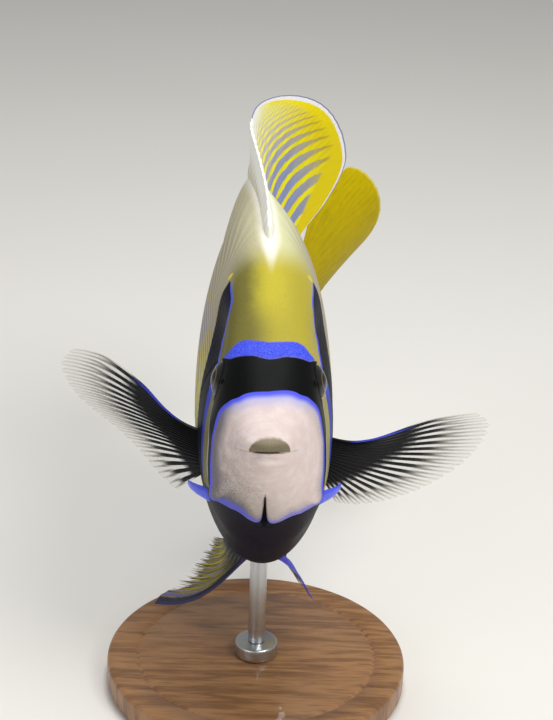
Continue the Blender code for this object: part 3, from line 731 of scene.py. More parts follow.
def skinFinish():
    f = Finish("angelfishSkin")
    c, p = skinColours, skinPatterns
    fish = f.spot("fish")
    back, up, left = f.split(fish)
    out = abs(left)
    turn, snout, brow, mask = f.numbers("turn snout brow mask")
    fore, patch, breast, stripe = f.numbers("fore patch breast stripe")
    mottle = f.speckle(fish, p["mottle"], 4.0, 0.6)
    fine = f.speckle(fish, p["fine"], 2.0, 0.5)
    wobble = (f.speckle(fish, p["wobble"], 2.0, 0.5) - 0.5) * 0.25
    # flank: lilac between yellow stripes, paler and greyer high up
    wave = abs(f.fraction(stripe + wobble * 0.6) - 0.5) * 2
    bright = f.edge(up, 14, 2) * f.edge(back, 62, 38)
    stripes = 1 - f.edge(wave - bright * 0.16, 0.34, 0.5)
    lilac = f.over(mottle, *c["lilac"])
    yellow = f.over(mottle, *c["yellow"])
    high = f.edge(up, 8, 26) * (1 - f.edge(back, 52, 70))
    lilac = f.over(high * 0.88, lilac, c["highLilac"])
    yellow = f.over(high * 0.88, yellow, c["highYellow"])
    yellow = f.over(bright, yellow, c["lowYellow"])
    f.colour = f.over(stripes, lilac, yellow)
    # yellower toward the tail's root
    f.paint(f.edge(back, 84, 98) * 0.85, c["tailRoot"])
    # olive nape and gill cover, with painted light and shade and a painted highlight on the crown
    # painted highlight: the crown is painted brightest yellow where light falls from above
    crownHighlight = f.edge(out + mottle * 2, 5.6, 1.2) * f.edge(back, 15, 22)
    # painted shade darkens the olive on the fish's right side, and painted light pales it on its
    # left
    olive = f.over(f.edge(left, 1.5, -3.5), *c["olive"])
    olive = f.over(f.edge(left, -4.5, -8) * 0.5, olive, c["shadedOlive"])
    olive = f.over(f.edge(left, 5, 8) * 0.5, olive, c["litOlive"])
    olive = f.over(crownHighlight * 0.85, olive, c["crownHighlight"])
    olive = f.over(f.edge(fine, 0.5, 0.75) * 0.16, olive, c["oliveSpeck"])
    khaki = f.over(mottle, *c["khaki"])
    # painted shade: the khaki darkens on the fish's right side
    khaki = f.over(f.edge(left, 3, -3) * 0.7, khaki, c["shadedKhaki"])
    olive = f.over(f.edge(up, 9, 5), olive, khaki)
    softness = f.edge(up, 18, 26) * 3.4 + 0.12
    inFront = f.edge(fore / softness, 1, -1)
    f.paint(inFront, olive)
    # the crest pales toward the dorsal fin; painted shade makes it darker on the fish's right
    onBack = f.edge(back, 26, 33) * (1 - f.edge(back, 58, 74))
    cream = f.over(f.edge(left, 1, -1), *c["crest"])
    f.paint(onBack * f.edge(out, 8, 1.5) * 0.85, cream)
    # painted highlight: a white streak along the ridge where the light catches it
    ridgeWide = f.edge(back, 25, 34) * 1.4 + 0.5
    ridgeHighlight = f.edge(out / ridgeWide, 1.3, 0.2) * f.edge(back, 25, 32) * (1 - f.edge(back, 58, 74))
    f.paint(ridgeHighlight, c["ridgeHighlight"])
    # dark breast, and the dark patch with its bright blue front
    dark = f.over(mottle, *c["dark"])
    f.paint(f.edge(breast + wobble, 0.25, -0.25), dark)
    f.paint(f.edge(patch + wobble, 0.25, -0.15), dark)
    lineWide = f.edge(up, 10, 4) * f.edge(up, -9, -5) + 0.34
    blueLine = f.edge(abs(fore + lineWide * 0.8 + wobble) - lineWide, 0.15, -0.1)
    blueLine = blueLine * f.edge(up, 22.9, 21.6) * f.edge(up, -9.6, -8.0)
    lineColour = f.over(f.edge(up, 9, 3), *c["blueLine"])
    f.paint(blueLine, lineColour)
    tipSpot = f.edge((up - 23.3) * (up - 23.3) * 0.7 + (back - 29.0) * (back - 29.0), 0.4, 0.05)
    f.paint(tipSpot, c["tipSpot"])
    # mask, with a pale line behind it
    paleLine = f.edge(abs(mask - 0.5), 0.5, 0.2) * f.edge(turn, 40, 30) * f.edge(turn, -36, -28)
    f.paint(paleLine * 0.8, c["paleLine"])
    black = f.over(mottle, *c["mask"])
    inMask = f.edge(mask + wobble * 0.6, 0.16, -0.16) * f.edge(turn, -44, -40)
    f.paint(inMask, black)
    blue = f.over(f.edge(fine, 0.25, 0.75), *c["brow"])
    inBrow = f.edge(brow + wobble * 0.5 + (fine - 0.5) * 0.3, 0.2, -0.16)
    f.paint(inBrow, blue)
    # snout: pinkish white, its edge greyer and lilac as painted shade, and blue above and at the
    # sides
    face = f.over(f.edge(mottle, 0.35, 0.7), *c["face"])
    # painted shade: greyer toward the bottom and the fish's right side
    shade = f.edge(up + mottle * 7, 7, -8) * f.edge(left, 2.5, -6)
    face = f.over(shade * 0.7, face, c["shade"])
    # painted shade: darker, and yellower, toward the bottom of the snout
    chin = f.edge(up + mottle * 3, -3, -12) * f.edge(left, 10, -2)
    face = f.over(chin * 0.6, face, c["chin"])
    shadeGrain = f.speckle(fish, p["shadeGrain"], 4.0, 0.65)
    onRight = f.edge(left, 3, -4)
    # painted shade: greyer and lilac toward the snout's edge, darker on the fish's right side
    edgeShade = f.edge(snout + onRight * f.edge(turn, 50, 20) * 1.4, -4.4, -0.5)
    edgeShadeColour = f.over(onRight, *c["rim"])
    edgeShadeColour = f.over(f.edge(turn, 32, 62), edgeShadeColour, c["upperRim"])
    face = f.over(edgeShade * 0.85, face, edgeShadeColour)
    # painted shade: darker on the fish's right side
    leftShade = f.edge(left + mottle * 1.2, -4.8, -8.2) * f.edge(turn, 62, 35)
    face = f.over(leftShade * 0.6, face, c["leftShade"])
    # a dark grain through the painted shade
    grainyShade = f.most(shade * 0.8, f.most(edgeShade * f.edge(turn, 45, 15), leftShade) * 0.5)
    grainyShade = grainyShade * f.edge(shadeGrain, 0.46, 0.64)
    face = f.over(grainyShade, face, c["shadeGrain"])
    rimWide = f.edge(turn, -42, -50) * (0.3 + onRight * 0.8)
    rimShare = f.edge(snout + rimWide, -1.7, -0.35)
    rimShare = rimShare * (0.55 + f.edge(turn, -52, -38) * 0.45)
    face = f.over(rimShare, face, c["snoutEdge"])
    far = (left * left * 0.7 + up * up) ** 0.5
    rings = abs(f.fraction(far * 0.9 + mottle) - 0.5)
    wrinkles = f.edge(rings, 0.1, 0.0) * f.edge(far, 8, 5) * f.edge(left, 3, -1)
    face = f.over(wrinkles * 0.1, face, c["wrinkle"])
    onFace = f.edge(snout, 0.1, -0.1)
    f.paint(onFace, face)
    # upper lip, and the mouth and throat slits painted dark as shade in their grooves
    across = f.least(abs(left - 0.45) / 3.1, 1.0) ** 2.3
    lipTop = (1 - across) ** 0.5 * 2.35
    lip = f.most(up - lipTop, 0.1 - up)
    lipColour = f.over(fine, *c["lip"])
    lipColour = f.over(f.edge(up, 1.2, 2.3) * 0.4, lipColour, c["lipEdge"])
    f.paint(f.edge(lip + wobble, 0.22, -0.2) * f.edge(back, 4, 3), lipColour)
    slitLine = abs(up - 0.14 + left * left * 0.02)
    slitShade = f.edge(slitLine, 0.15, 0.05) * f.edge(abs(left - 0.3), 2.8, 0.9) * f.edge(back, 4, 3)
    f.paint(slitShade, c["slit"])
    throatWide = f.edge(back, 4.5, 11) * 0.3 + 0.06
    throatShade = f.edge(out / throatWide, 1.25, 0.8) * f.edge(back, 4.4, 5.2) * f.edge(up, -5, -6)
    throatShade = throatShade * f.edge(back, 13.5, 12)
    f.paint(throatShade, c["throat"])
    # nostrils, painted black as shade in their hollows
    for nostrilBack, nostrilUp, size in skin["nostrils"]:
        far = (back - nostrilBack) * (back - nostrilBack) + (up - nostrilUp) * (up - nostrilUp)
        f.paint(f.edge(far, size * size * 1.2, size * size * 0.5), c["nostril"])
    # scales: small on the head, larger on the flank
    scales = f.cells(f.stretched(fish, (1.0, 1.25, 1.0)), p["scales"])
    smallScales = f.cells(fish, p["headScales"])
    onHead = f.edge(back, 30, 20)
    height = f.between(onHead, scales, smallScales) + fine * 0.25
    dark = f.most(f.most(inMask, inBrow), f.edge(breast, 0.3, -0.3) * 0.7)
    amount = 1 - f.most(f.edge(snout, 0.2, -0.8) * 0.78, dark * 0.72)
    relief = f.relief(height * amount, 0.3, p["scaleHeight"])
    rough = f.between(f.edge(snout, 0.1, -0.1), 0.5, 0.6) + (fine - 0.5) * 0.12
    return f.done(Roughness=rough, Normal=relief, Specular_IOR_Level=0.09)


skinObj = makeSkin()
join(
    skinObj, skinFinish(), "flank_skin",
    "head", "trunk", "tail_base", "gill_cover_left", "gill_cover_right", "upper_lip", "lower_lip",
)
print("skin done")

# Eyes

eyes = {
    "sink": 0.6,
    "deep": 1.7,
    "radius": 3.05,
    "clearFront": (0.12, 0.5),  # how much it bulges, and how wide
    "forward": 12.0,
    "upward": 12.0,
    "segments": 64,
    "rings": 40,
}


def makeEye(side, name):
    obj = newBall(name, eyes["segments"], eyes["rings"])
    ball = verticesOf(obj)
    turn = np.array(
        Matrix.Rotation(math.radians(eyes["forward"]), 3, "Z")
        @ Matrix.Rotation(math.radians(eyes["upward"]), 3, "Y")
    )
    far = np.hypot(ball[:, 0], ball[:, 1])
    bulge, wide = eyes["clearFront"]
    dome = ball[:, 2] * eyes["deep"] * (1 + bulge * bell(far / wide))
    flat = np.column_stack([dome, ball[:, 0] * eyes["radius"], ball[:, 1] * eyes["radius"]])
    flat = flat @ turn
    back, up = skin["eye"]["back"], skin["eye"]["up"]
    centre = halfWidthAt(back, up) - eyes["sink"]
    smooth(obj, place(back + flat[:, 1], up + flat[:, 2], side * (centre + flat[:, 0])))
    keep(obj, "far", np.where(ball[:, 2] > 0, far, 1.0))
    keep(obj, "around", ball)
    return obj


eyeColours = {
    "iris": ((10, 10, 12), (30, 26, 22)), "innerRing": (150, 132, 84), "outerRing": (200, 208, 206),
    "pupil": (3, 3, 5),
}


def eyeFinish():
    f = Finish("eye")
    c = eyeColours
    far = f.number("far")
    fleck = f.speckle(f.spot("around"), 9.0, 4.0, 0.6)
    iris = f.over(fleck, *c["iris"])
    ring = f.edge(abs(far - 0.49), 0.035, 0.012) * 0.6
    outer = f.edge(abs(far - 0.9), 0.045, 0.02)
    f.colour = f.over(ring, iris, c["innerRing"])
    f.paint(outer, c["outerRing"])
    f.paint(f.edge(far, 0.46, 0.44), c["pupil"])
    return f.done(Roughness=0.3, Coat_Weight=0.5, Coat_Roughness=0.06, Specular_IOR_Level=0.2)


eyeMaterial = eyeFinish()
for side, name in sides:
    join(makeEye(side, f"eyeball_{name}"), eyeMaterial, "eye", f"eye_{name}")
print("eyes done")

# Cheek spines

cheekSpine = {
    "root": (20.6, -11.4),
    "reach": (7.9, 0.9),
    "sink": 0.6,
    "tipOut": 12.6,
    "width": 1.15,
    "thickness": 0.6,
    "slim": 0.98,
    "rootEnd": 0.04,
    "point": 0.62,  # below 1 for a blunter point
    "channel": (0.1, 0.3),  # how deep and how wide it runs along the flat side
    "sides": 24,
    "lengths": 30,
}


def makeSpine(side, name):
    c = cheekSpine
    obj = newBall(name, c["sides"], c["lengths"])
    ball = verticesOf(obj)
    t = np.arccos(np.clip(ball[:, 2], -1, 1)) / math.pi
    around = np.arctan2(ball[:, 1], ball[:, 0])
    taper = np.where(t < c["rootEnd"], t / c["rootEnd"], (1 - t) ** c["point"]) * c["slim"]
    groove = 1 - c["channel"][0] * bell(np.sin(around) / c["channel"][1])
    root = halfWidthAt(*c["root"]) - c["sink"]
    out = root + (c["tipOut"] - root) * np.sin(np.pi * t / 2)
    out += np.cos(around) * c["thickness"] * taper * groove
    up = c["root"][1] + c["reach"][1] * t + np.sin(around) * c["width"] * taper
    smooth(obj, place(c["root"][0] + c["reach"][0] * t, up, side * out))
    keep(obj, "along", t)
    return obj


spineColours = {
    "blue": ((52, 66, 220), (92, 108, 250)), "tip": (150, 165, 250),
}


def spineFinish():
    f = Finish("cheekSpine")
    c = spineColours
    along = f.number("along")
    where = f.onObject()
    streak = f.speckle(where, 900.0, 3.0, 0.6)
    f.colour = f.over(streak, *c["blue"])
    f.paint(f.edge(along, 0.75, 1.0), c["tip"])
    return f.done(Roughness=0.32, Normal=f.relief(streak, 0.2, 0.0002), Coat_Weight=0.3)


spineMaterial = spineFinish()
for side, name in sides:
    join(makeSpine(side, f"cheekSpine_{name}"), spineMaterial, "spine", f"cheek_spine_{name}")
print("cheek spines done")

# Fins: sheets of rays and membrane

# how the fins on the back and below sweep over, and where and how high up the dorsal fin curls left
edgeFins = {"sweep": 0.12, "curlFrom": (60.0, 40.0), "curlHeight": 20.0}
backFin = {
    "base": (33.0, 91.0),
    "margin": (
        (0.0, 33.4, 31.2), (0.10, 38.4, 35.5), (0.22, 47.2, 39.6), (0.36, 56.4, 43.0),
        (0.50, 66.7, 45.7), (0.58, 73.0, 47.4), (0.66, 80.5, 47.9), (0.73, 87.5, 47.1),
        (0.80, 93.8, 44.9), (0.86, 99.6, 41.2), (0.91, 104.2, 36.2), (0.95, 106.6, 30.2),
        (0.98, 103.4, 23.2), (1.0, 96.5, 17.5),
    ),
    "split": 0.51,
    "seam": 0.0012,
    "curl": 2.8,
    "sink": 1.2,
}
analFin = {
    "base": (60.0, 90.0),
    "margin": (
        (0.0, 60.8, -24.9), (0.12, 66.6, -30.4), (0.26, 73.0, -35.0), (0.42, 80.5, -38.0),
        (0.58, 89.0, -37.6), (0.72, 96.4, -33.4), (0.84, 101.4, -26.4), (0.93, 102.6, -18.2),
        (1.0, 97.0, -7.6),
    ),
    "curl": 0.0,
    "sink": 1.2,
}
tailFin = {
    "root": (97.5, 4.3), "rootHalf": 4.6, "length": 25.4, "spread": (46.0, 29.6),
    "rounding": (0.20, 0.16, 2.5), "bow": (8.2, 2.8, 1.2), "rise": 7.05, "riseFrom": 97.5,
    # the twist and the cup grow with the height from the middle, behind bendFrom
    "twist": 6.5, "twistHeight": 15.0, "cup": 4.4, "cupHeight": 12.0, "middle": 5.0,
    "bendFrom": 95.0, "bendOver": 25.0,
}
sideFin = {
    "top": (31.0, -2.9), "bottom": (32.2, -9.6), "sink": 1.6, "sweep": 0.26, "cup": 0.30,
    "left": (
        (0.0, 25.8, 4.9), (0.12, 28.4, 1.2), (0.25, 27.5, -4.6), (0.4, 24.8, -11.4),
        (0.55, 20.1, -20.6), (0.7, 15.2, -31.0), (0.82, 10.9, -42.5), (0.92, 7.8, -53.0),
        (1.0, 5.6, -62.0),
    ),
    "right": (
        (0.0, 24.8, 29.3), (0.12, 25.8, 24.4), (0.25, 24.2, 20.4), (0.4, 21.4, 17.2),
        (0.55, 17.3, 14.6), (0.7, 13.2, 10.6), (0.82, 9.7, 1.5), (0.92, 7.0, -17.0),
        (1.0, 5.2, -40.0),
    ),
    "arch": {"left": 4.0, "right": 17.0},
    # how far the leading rays turn up along their length
    "lead": {
        "left": ((0.0, -25), (0.15, -24), (0.3, -15), (0.46, -6.5), (0.65, -1), (0.85, 0), (1, 0)),
        "right": (
            (0.0, -22), (0.15, -18), (0.3, -9), (0.45, -1), (0.6, 2), (0.78, 3.4), (0.9, 2), (1, 0),
        ),
    },
}
bellyFin = {
    "origin": (28.6, 2.0), "sink": 1.2, "inward": 0.3, "spacing": 0.9, "dip": 0.12,
    # root's front and rear, tip's front and rear, bow, and how it fades to the rear
    "left": (((29.0, 2.2), (33.0, 3.4)), (18.7, -14.3, 8.1), (16.0, -9.6, 5.4), -2.1, 1.0),
    "right": (((29.0, 2.2), (33.0, 5.6)), (16.8, -13.5, 16.9), (12.9, 0.4, 6.2), 3.2, 0.92),
}


def edgeFinSurface(fin, top, start=0.0, end=1.0):
    def surface(u, v):
        u = start + (end - start) * u
        base, sink = fin["base"], fin["sink"]
        rootBack = base[0] + (base[1] - base[0]) * u
        edge = lineAt([(s[0], s[1 if top else 2]) for s in bodyStations], rootBack)
        rootUp = edge - sink if top else edge + sink
        tip = through(fin["margin"], u)
        sweep = v + edgeFins["sweep"] * np.sin(np.pi * v)
        back = rootBack + (tip[..., 0] - rootBack) * (2 * v - sweep)
        up = rootUp + (tip[..., 1] - rootUp) * sweep
        over = np.maximum(up - crestAt(back), 0) / edgeFins["curlHeight"]
        return back, up, fin["curl"] * over**1.5 * step(back, edgeFins["curlFrom"])

    return surface


def tailSurface(u, v):
    t = tailFin
    across = 1 - 2 * u
    over = across > 0
    angle = np.radians(np.where(over, *t["spread"])) * across
    above, below, corner = t["rounding"]
    length = t["length"] * (1 - np.where(over, above, below) * np.abs(across) ** corner)
    back = t["root"][0] + length * v * np.cos(angle * 0.8)
    up = t["root"][1] + t["rootHalf"] * across + length * v * np.sin(angle)
    bow, full, end = t["bow"]
    up = up + bow * full * np.sqrt(v) * (1 - v) ** end * np.maximum(across, 0) ** 2
    far = np.maximum(back - t["bendFrom"], 0) / t["bendOver"]
    high = up - t["middle"]
    left = t["twist"] * high / t["twistHeight"] - t["cup"] * (high / t["cupHeight"]) ** 2
    rise = t["rise"] * (np.maximum(back - t["riseFrom"], 0) / t["bendOver"]) ** 1.3
    return back, up + rise, left * far


def sideFinSurface(side, name):
    s = sideFin

    def surface(u, v):
        rootBack = s["top"][0] + (s["bottom"][0] - s["top"][0]) * u
        rootUp = s["top"][1] + (s["bottom"][1] - s["top"][1]) * u
        rootOut = halfWidthAt(rootBack, rootUp) - s["sink"]
        length, direction = np.moveaxis(through(s[name], u), -1, 0)
        turn = lineAt(s["lead"][name], v) * (1 - u) ** 4
        angle = np.radians(direction + s["arch"][name] * (0.5 - 0.5 * v) + turn)
        run = (length + s["sink"]) * v
        sweep = run * (s["sweep"] + s["cup"] * u * v)
        out = rootOut + run * np.cos(angle)
        return rootBack + sweep, rootUp + run * np.sin(angle), side * out

    return surface


def bellyFinSurface(side, name):
    b = bellyFin
    ((front, frontOut), (rear, rearOut)), lead, trail, bow, fade = b[name]
    origin = np.array([b["origin"][0], bellyHeight(b["origin"][0], b["origin"][1]), b["origin"][1]])

    def surface(u, v):
        back, out = front + (rear - front) * u, frontOut + (rearOut - frontOut) * u
        rootUp, rootOut = bellyHeight(back, out) + b["sink"], out - b["inward"] * b["sink"]
        root = np.stack([back, rootUp, rootOut], -1)
        share = (u ** b["spacing"])[..., None]
        length = (1 - b["dip"] * np.sin(np.pi * u))[..., None]
        tip = origin + (np.array(lead) * (1 - share) + np.array(trail) * share) * length
        at = root + (tip - root) * v[..., None]
        at[..., 1] -= bow * (1 - fade * u) * np.sin(np.pi * v)
        return at[..., 0], at[..., 1], side * at[..., 2]

    return surface


rayShape = {
    "sharp": 5,  # higher for narrower rays
    "forkSharp": 4,
    "forkThick": 0.85,
    "divide": (0.55, 0.2),  # where a soft ray starts to divide, and over how much of its length
    "sheathFrom": 1.2,  # the root's fleshy sheath thins above this height
    "sheathFront": 0.1,
    "sheathHides": 0.85,
    "sheathEnd": 6,
    "scallop": 1.5,  # lower for a sharper notch between two rays
    "spineScallop": 1.2,
    "smoothAngle": 55,
}


def makeFin(name, surface, fin):
    # fin: rays, columns for each, rows, thickness of a ray's root and tip and of the membrane,
    # how far the membrane stops short between rays, and the number of spines in front
    r = rayShape
    columns, rows = fin["rays"] * fin["fine"], fin["rows"]
    bpy.ops.object.select_all(action="DESELECT")
    bpy.ops.mesh.primitive_grid_add(x_subdivisions=columns, y_subdivisions=rows, size=2)
    obj = added(name)
    flat = verticesOf(obj)
    u, v = (flat[:, 0] + 1) / 2, (flat[:, 1] + 1) / 2
    phase = u * fin["rays"]
    isSpine = phase < fin.get("spines", 0)
    wave = np.abs(np.sin(np.pi * phase))
    bulge = wave ** r["sharp"]
    root, tip, membrane = fin["thick"]
    ray = root + (tip - root) * v
    # a soft ray divides toward the margin
    forked = np.abs(np.sin(2 * np.pi * phase)) ** r["forkSharp"] * r["forkThick"]
    split = step(v, r["divide"]) * (1 - isSpine)
    bulge = bulge * (1 - split) + forked * split
    # a fleshy sheath round the root, which thins with height and toward the fin's front
    foot, whole = (np.column_stack(surface(u, at)) for at in (v * 0, v))
    height = np.maximum(np.linalg.norm(whole - foot, axis=1) - r["sheathFrom"], 0)
    fleshy, reachUp = fin.get("sheath", (0, 1))
    sheath = bell(height / reachUp) * np.sqrt(np.minimum(u / r["sheathFront"], 1))
    bulge *= 1 - r["sheathHides"] * sheath * (fleshy > 0)
    thick = membrane + np.maximum(ray - membrane, 0) * bulge
    thick *= 1 + fin.get("spineMore", 0.3) * isSpine * bulge
    thick += fleshy * sheath * np.sqrt(1 - np.minimum(v, 0.999) ** r["sheathEnd"])
    notch = fin["notch"] * (1 - wave ** r["scallop"])
    spineNotch = fin.get("spineNotch", fin["notch"]) * (1 - wave ** r["spineScallop"])
    reach = v * (1 - np.where(isSpine, spineNotch, notch))
    back, up, left = surface(u, reach)
    putVertices(obj, place(back, up, left))
    keep(obj, "share", u)
    keep(obj, "reach", v)
    keep(obj, "phase", phase)
    keep(obj, "fish", np.column_stack([back, up, left]))
    group = obj.vertex_groups.new(name="thick")
    largest = float(thick.max())
    for i, value in enumerate(thick / largest):
        group.add([i], float(value), "REPLACE")
    wall = obj.modifiers.new("wall", "SOLIDIFY")
    wall.thickness, wall.offset = largest, 0
    wall.vertex_group, wall.thickness_vertex_group = "thick", 0.0
    applyAll(obj)
    obj.vertex_groups.clear()
    faceOut(obj)
    onlySelect(obj)
    bpy.ops.object.shade_smooth_by_angle(angle=math.radians(r["smoothAngle"]))
    return obj


finShapes = {
    "spiny": {"rays": 14, "fine": 10, "rows": 36, "thick": (0.0019, 0.0011, 0.0008), "notch": 0.05,
              "spines": 14, "spineNotch": 0.07, "sheath": (0.0042, 2.3)},
    "soft": {"rays": 20, "fine": 8, "rows": 70, "thick": (0.0014, 0.0006, 0.0005), "notch": 0.003,
             "sheath": (0.0030, 2.6)},
    "anal": {"rays": 23, "fine": 8, "rows": 50, "thick": (0.0014, 0.0006, 0.0005), "notch": 0.006,
             "spines": 3, "spineNotch": 0.06, "sheath": (0.0030, 2.6)},
    "tail": {"rays": 17, "fine": 10, "rows": 60, "thick": (0.0012, 0.0006, 0.0005), "notch": 0.004},
    "side": {"rays": 19, "fine": 10, "rows": 60, "thick": (0.0016, 0.0006, 0.0004), "notch": 0.045},
    "belly": {"rays": 6, "fine": 14, "rows": 50, "thick": (0.0013, 0.0007, 0.0004), "notch": 0.05,
              "spines": 1, "spineNotch": 0.02, "spineMore": 1.5, "sheath": (0.0045, 2.0)},
}


def rayLines(f, phase, reach, whole=(0.14, 0.3), forks=(0.16, 0.34), divide=(0.55, 0.72), thin=0):
    # 1 on a ray and 0 on the membrane, with the rays divided toward the margin
    single, double = f.bars(phase, *whole, thin), f.bars(phase * 2, *forks, thin)
    return f.between(f.edge(reach, *divide), single, double)


def finParts(f, scale=0.8, detail=3.0, roughness=0.5):
    # from front to rear, from root to tip, the count of rays, the place on the fish, and a mottle
    fish = f.spot("fish")
    return (*f.numbers("share reach phase"), fish, f.speckle(fish, scale, detail, roughness))


# The soft fin's yellow lines, as sums of a constant, the share of the height and its square: where
# they start in front, and how close together they run toward the rear
softLines = {"from": 0.75, "front": (5.07, 1.11, 5.2), "rearward": (23.5, 7.05, 18.6)}


def markSoftFin(obj):
    # the lines cross the rays and bend toward the rear, one at each whole number
    whole, reach = (
        np.array([p.value for p in obj.data.attributes[name].data]) for name in ("share", "reach")
    )
    whole = whole * (1 - backFin["split"]) + backFin["split"] - softLines["from"]
    front, rearward = (
        a + b * reach + c * reach**2 for a, b, c in (softLines["front"], softLines["rearward"])
    )
    keep(obj, "line", front - whole * rearward)


softColours = {
    "gap": ((146, 156, 204), (186, 178, 150)), "outerGap": (196, 176, 40),
    "frontGap": (236, 226, 196), "line": ((250, 240, 10), (236, 214, 0)),
    "frontLine": (252, 250, 150), "membrane": (120, 110, 60),
    "rear": ((252, 234, 0), (234, 212, 0)), "front": (250, 251, 238), "band": (250, 250, 252),
    "edge": (78, 84, 160),
}


def softFinFinish():
    f = Finish("softDorsal")
    c = softColours
    share, reach, phase, _, mottle = finParts(f)
    rays = rayLines(f, phase, reach)
    whole = share * (1 - backFin["split"]) + backFin["split"]
    front = f.edge(whole, 0.84, 0.64)
    wave = abs(f.fraction(f.number("line") + (mottle - 0.5) * 0.2 + 0.5) - 0.5) * 2
    wide = 0.36 + f.edge(reach, 0.55, 0.9) * 0.45 + front * 0.15
    yellowShare = f.edge(wave - wide, 0.08, -0.08)
    lilac = f.over(f.edge(reach, 0.35, 0.75), *c["gap"])
    lilac = f.over(f.edge(reach, 0.62, 0.85), lilac, c["outerGap"])
    lilac = f.over(front * 0.85, lilac, c["frontGap"])
    yellow = f.over(f.edge(reach, 0.5, 0.9), *c["line"])
    yellow = f.over(front * 0.75, yellow, c["frontLine"])
    f.colour = f.over(yellowShare, lilac, yellow)
    f.paint((1 - rays) * 0.12, c["membrane"])
    # plain yellow behind, deeper low down
    solid = f.edge(reach + f.edge(whole, 0.9, 0.985) * 0.42, 0.84, 0.92)
    f.paint(solid, f.over(f.edge(whole, 0.7, 0.95), *c["rear"]))
    cream = f.edge(whole, 0.66, 0.57)
    f.paint(cream, c["front"])
    margin = reach - f.edge(whole, 0.68, 0.84) * 0.03
    f.paint(f.edge(margin, 0.925, 0.94), c["band"])
    f.paint(f.edge(reach, 0.985, 0.993) * 0.85, c["edge"])
    return f.done(Roughness=0.5, Normal=f.relief(rays, 0.25, 0.0003), Specular_IOR_Level=0.1)


# the top and front are near white, partly the fin's pale colour and partly a painted highlight
spinyColours = {
    "stripes": ((200, 196, 180), (222, 214, 170)), "above": (251, 250, 242),
    "front": (246, 244, 228), "spines": (255, 254, 250),
}


def spinyFinFinish():
    f = Finish("spinyDorsal")
    c = spinyColours
    _, reach, phase, fish, mottle = finParts(f)
    back, up, _ = f.split(fish)
    spines = f.bars(phase, 0.12, 0.28)
    stripes = f.bars((up - back * 0.4) / 1.9 + (mottle - 0.5) * 0.3, 0.2, 0.275)
    f.colour = f.over(stripes, *c["stripes"])
    # painted highlight over a pale fin: whiter upward and toward the front
    f.paint(f.edge(reach, 0.1, 0.5), c["above"])
    f.paint(f.edge(back, 48, 38) * 0.8, c["front"])
    f.paint(spines * 0.4, c["spines"])
    relief = f.relief(spines * f.edge(reach, 0.2, 0.5), 0.3, 0.0003)
    return f.done(Roughness=0.48, Normal=relief, Coat_Weight=0.05, Specular_IOR_Level=0.3)


tailColours = {
    "yellow": ((178, 158, 0), (202, 180, 0)), "lower": (142, 124, 0), "fibre": (112, 98, 0),
    "rays": (198, 178, 10), "edge": (222, 212, 120),
}


def tailFinFinish():
    f = Finish("tailFin")
    c = tailColours
    share, reach, phase, _, mottle = finParts(f, 0.5, 4.0, 0.6)
    rays = rayLines(f, phase, reach)
    fibre = f.speckle(f.pair(phase * 3, reach * 2), 2.0, 3.0, 0.6)
    f.colour = f.over(mottle, *c["yellow"])
    # painted shade: the lower half of the tail darker
    f.paint(f.edge(share, 0.2, 0.8) * 0.5, c["lower"])
    f.paint(f.edge(fibre, 0.5, 0.66) * 0.22, c["fibre"])
    f.paint(rays * 0.12, c["rays"])
    f.paint(f.edge(reach, 0.975, 0.99) * 0.6, c["edge"])
    relief = f.relief(rays * 0.5 + fibre * 0.6, 0.2, 0.0003)
    return f.done(Roughness=0.5, Normal=relief, Specular_IOR_Level=0.08)


analColours = {
    "lines": ((24, 28, 84), (74, 104, 224)), "edge": (110, 140, 240), "rays": (50, 60, 140),
}


def analFinFinish():
    f = Finish("analFin")
    c = analColours
    share, reach, phase, _, mottle = finParts(f)
    rays = rayLines(f, phase, reach)
    lines = f.bars(reach * 7 - share * 1.2 + (mottle - 0.5) * 0.4, 0.15, 0.225)
    f.colour = f.over(lines, *c["lines"])
    f.paint(f.edge(reach, 0.965, 0.98), c["edge"])
    f.paint(rays * 0.15, c["rays"])
    return f.done(Roughness=0.48, Normal=f.relief(rays, 0.35, 0.0003), Coat_Weight=0.12)


sideColours = {
    "rays": ((6, 7, 12), (112, 102, 92)), "web": ((10, 11, 16), (206, 198, 170)),
    "streak": (44, 58, 190),
}


def sideFinFinish():
    f = Finish("pectoralFin")
    c = sideColours
    share, reach, phase, _, mottle = finParts(f, 0.9)
    thin = f.edge(reach, 0.55, 1.0) * 0.13
    rays = rayLines(f, phase, reach, (0.19, 0.29), (0.2, 0.34), (0.66, 0.86), thin)
    tips = f.edge(reach + (mottle - 0.5) * 0.2, 0.6, 1.0)
    rayColour = f.over(tips, *c["rays"])
    web = f.over(tips, *c["web"])
    f.colour = f.over(rays, web, rayColour)
    # a blue streak along the root half of the leading ray
    streak = f.edge(share, 0.04, 0.015) * f.edge(reach, 0.16, 0.24) * f.edge(reach, 0.62, 0.4)
    f.paint(streak, c["streak"])
    # the webs clear outward, first behind and later at the leading edge
    start = 0.34 + f.edge(share, 0.7, 0.0) * 0.16 + (mottle - 0.5) * 0.1
    clear = f.edge((reach - start) * 6, 0.0, 1.0)
    webAlpha = f.between(clear, 1.0, 0.06)
    rayAlpha = f.between(f.edge(reach, 0.62, 1.0), 1.0, 0.16)
    alpha = f.between(rays, webAlpha, rayAlpha)
    return f.done(
        Roughness=0.45, Alpha=alpha, Normal=f.relief(rays, 0.35, 0.0004), Coat_Weight=0.03,
        Specular_IOR_Level=0.25,
    )


bellyColours = {
    "webs": ((58, 54, 50), (142, 134, 132)), "rays": ((168, 154, 28), (96, 88, 24)),
    "root": (12, 13, 20), "front": (26, 27, 40), "streak": (124, 118, 168), "edge": (46, 52, 104),
    "spine": ((60, 64, 190), (84, 88, 216)),
}


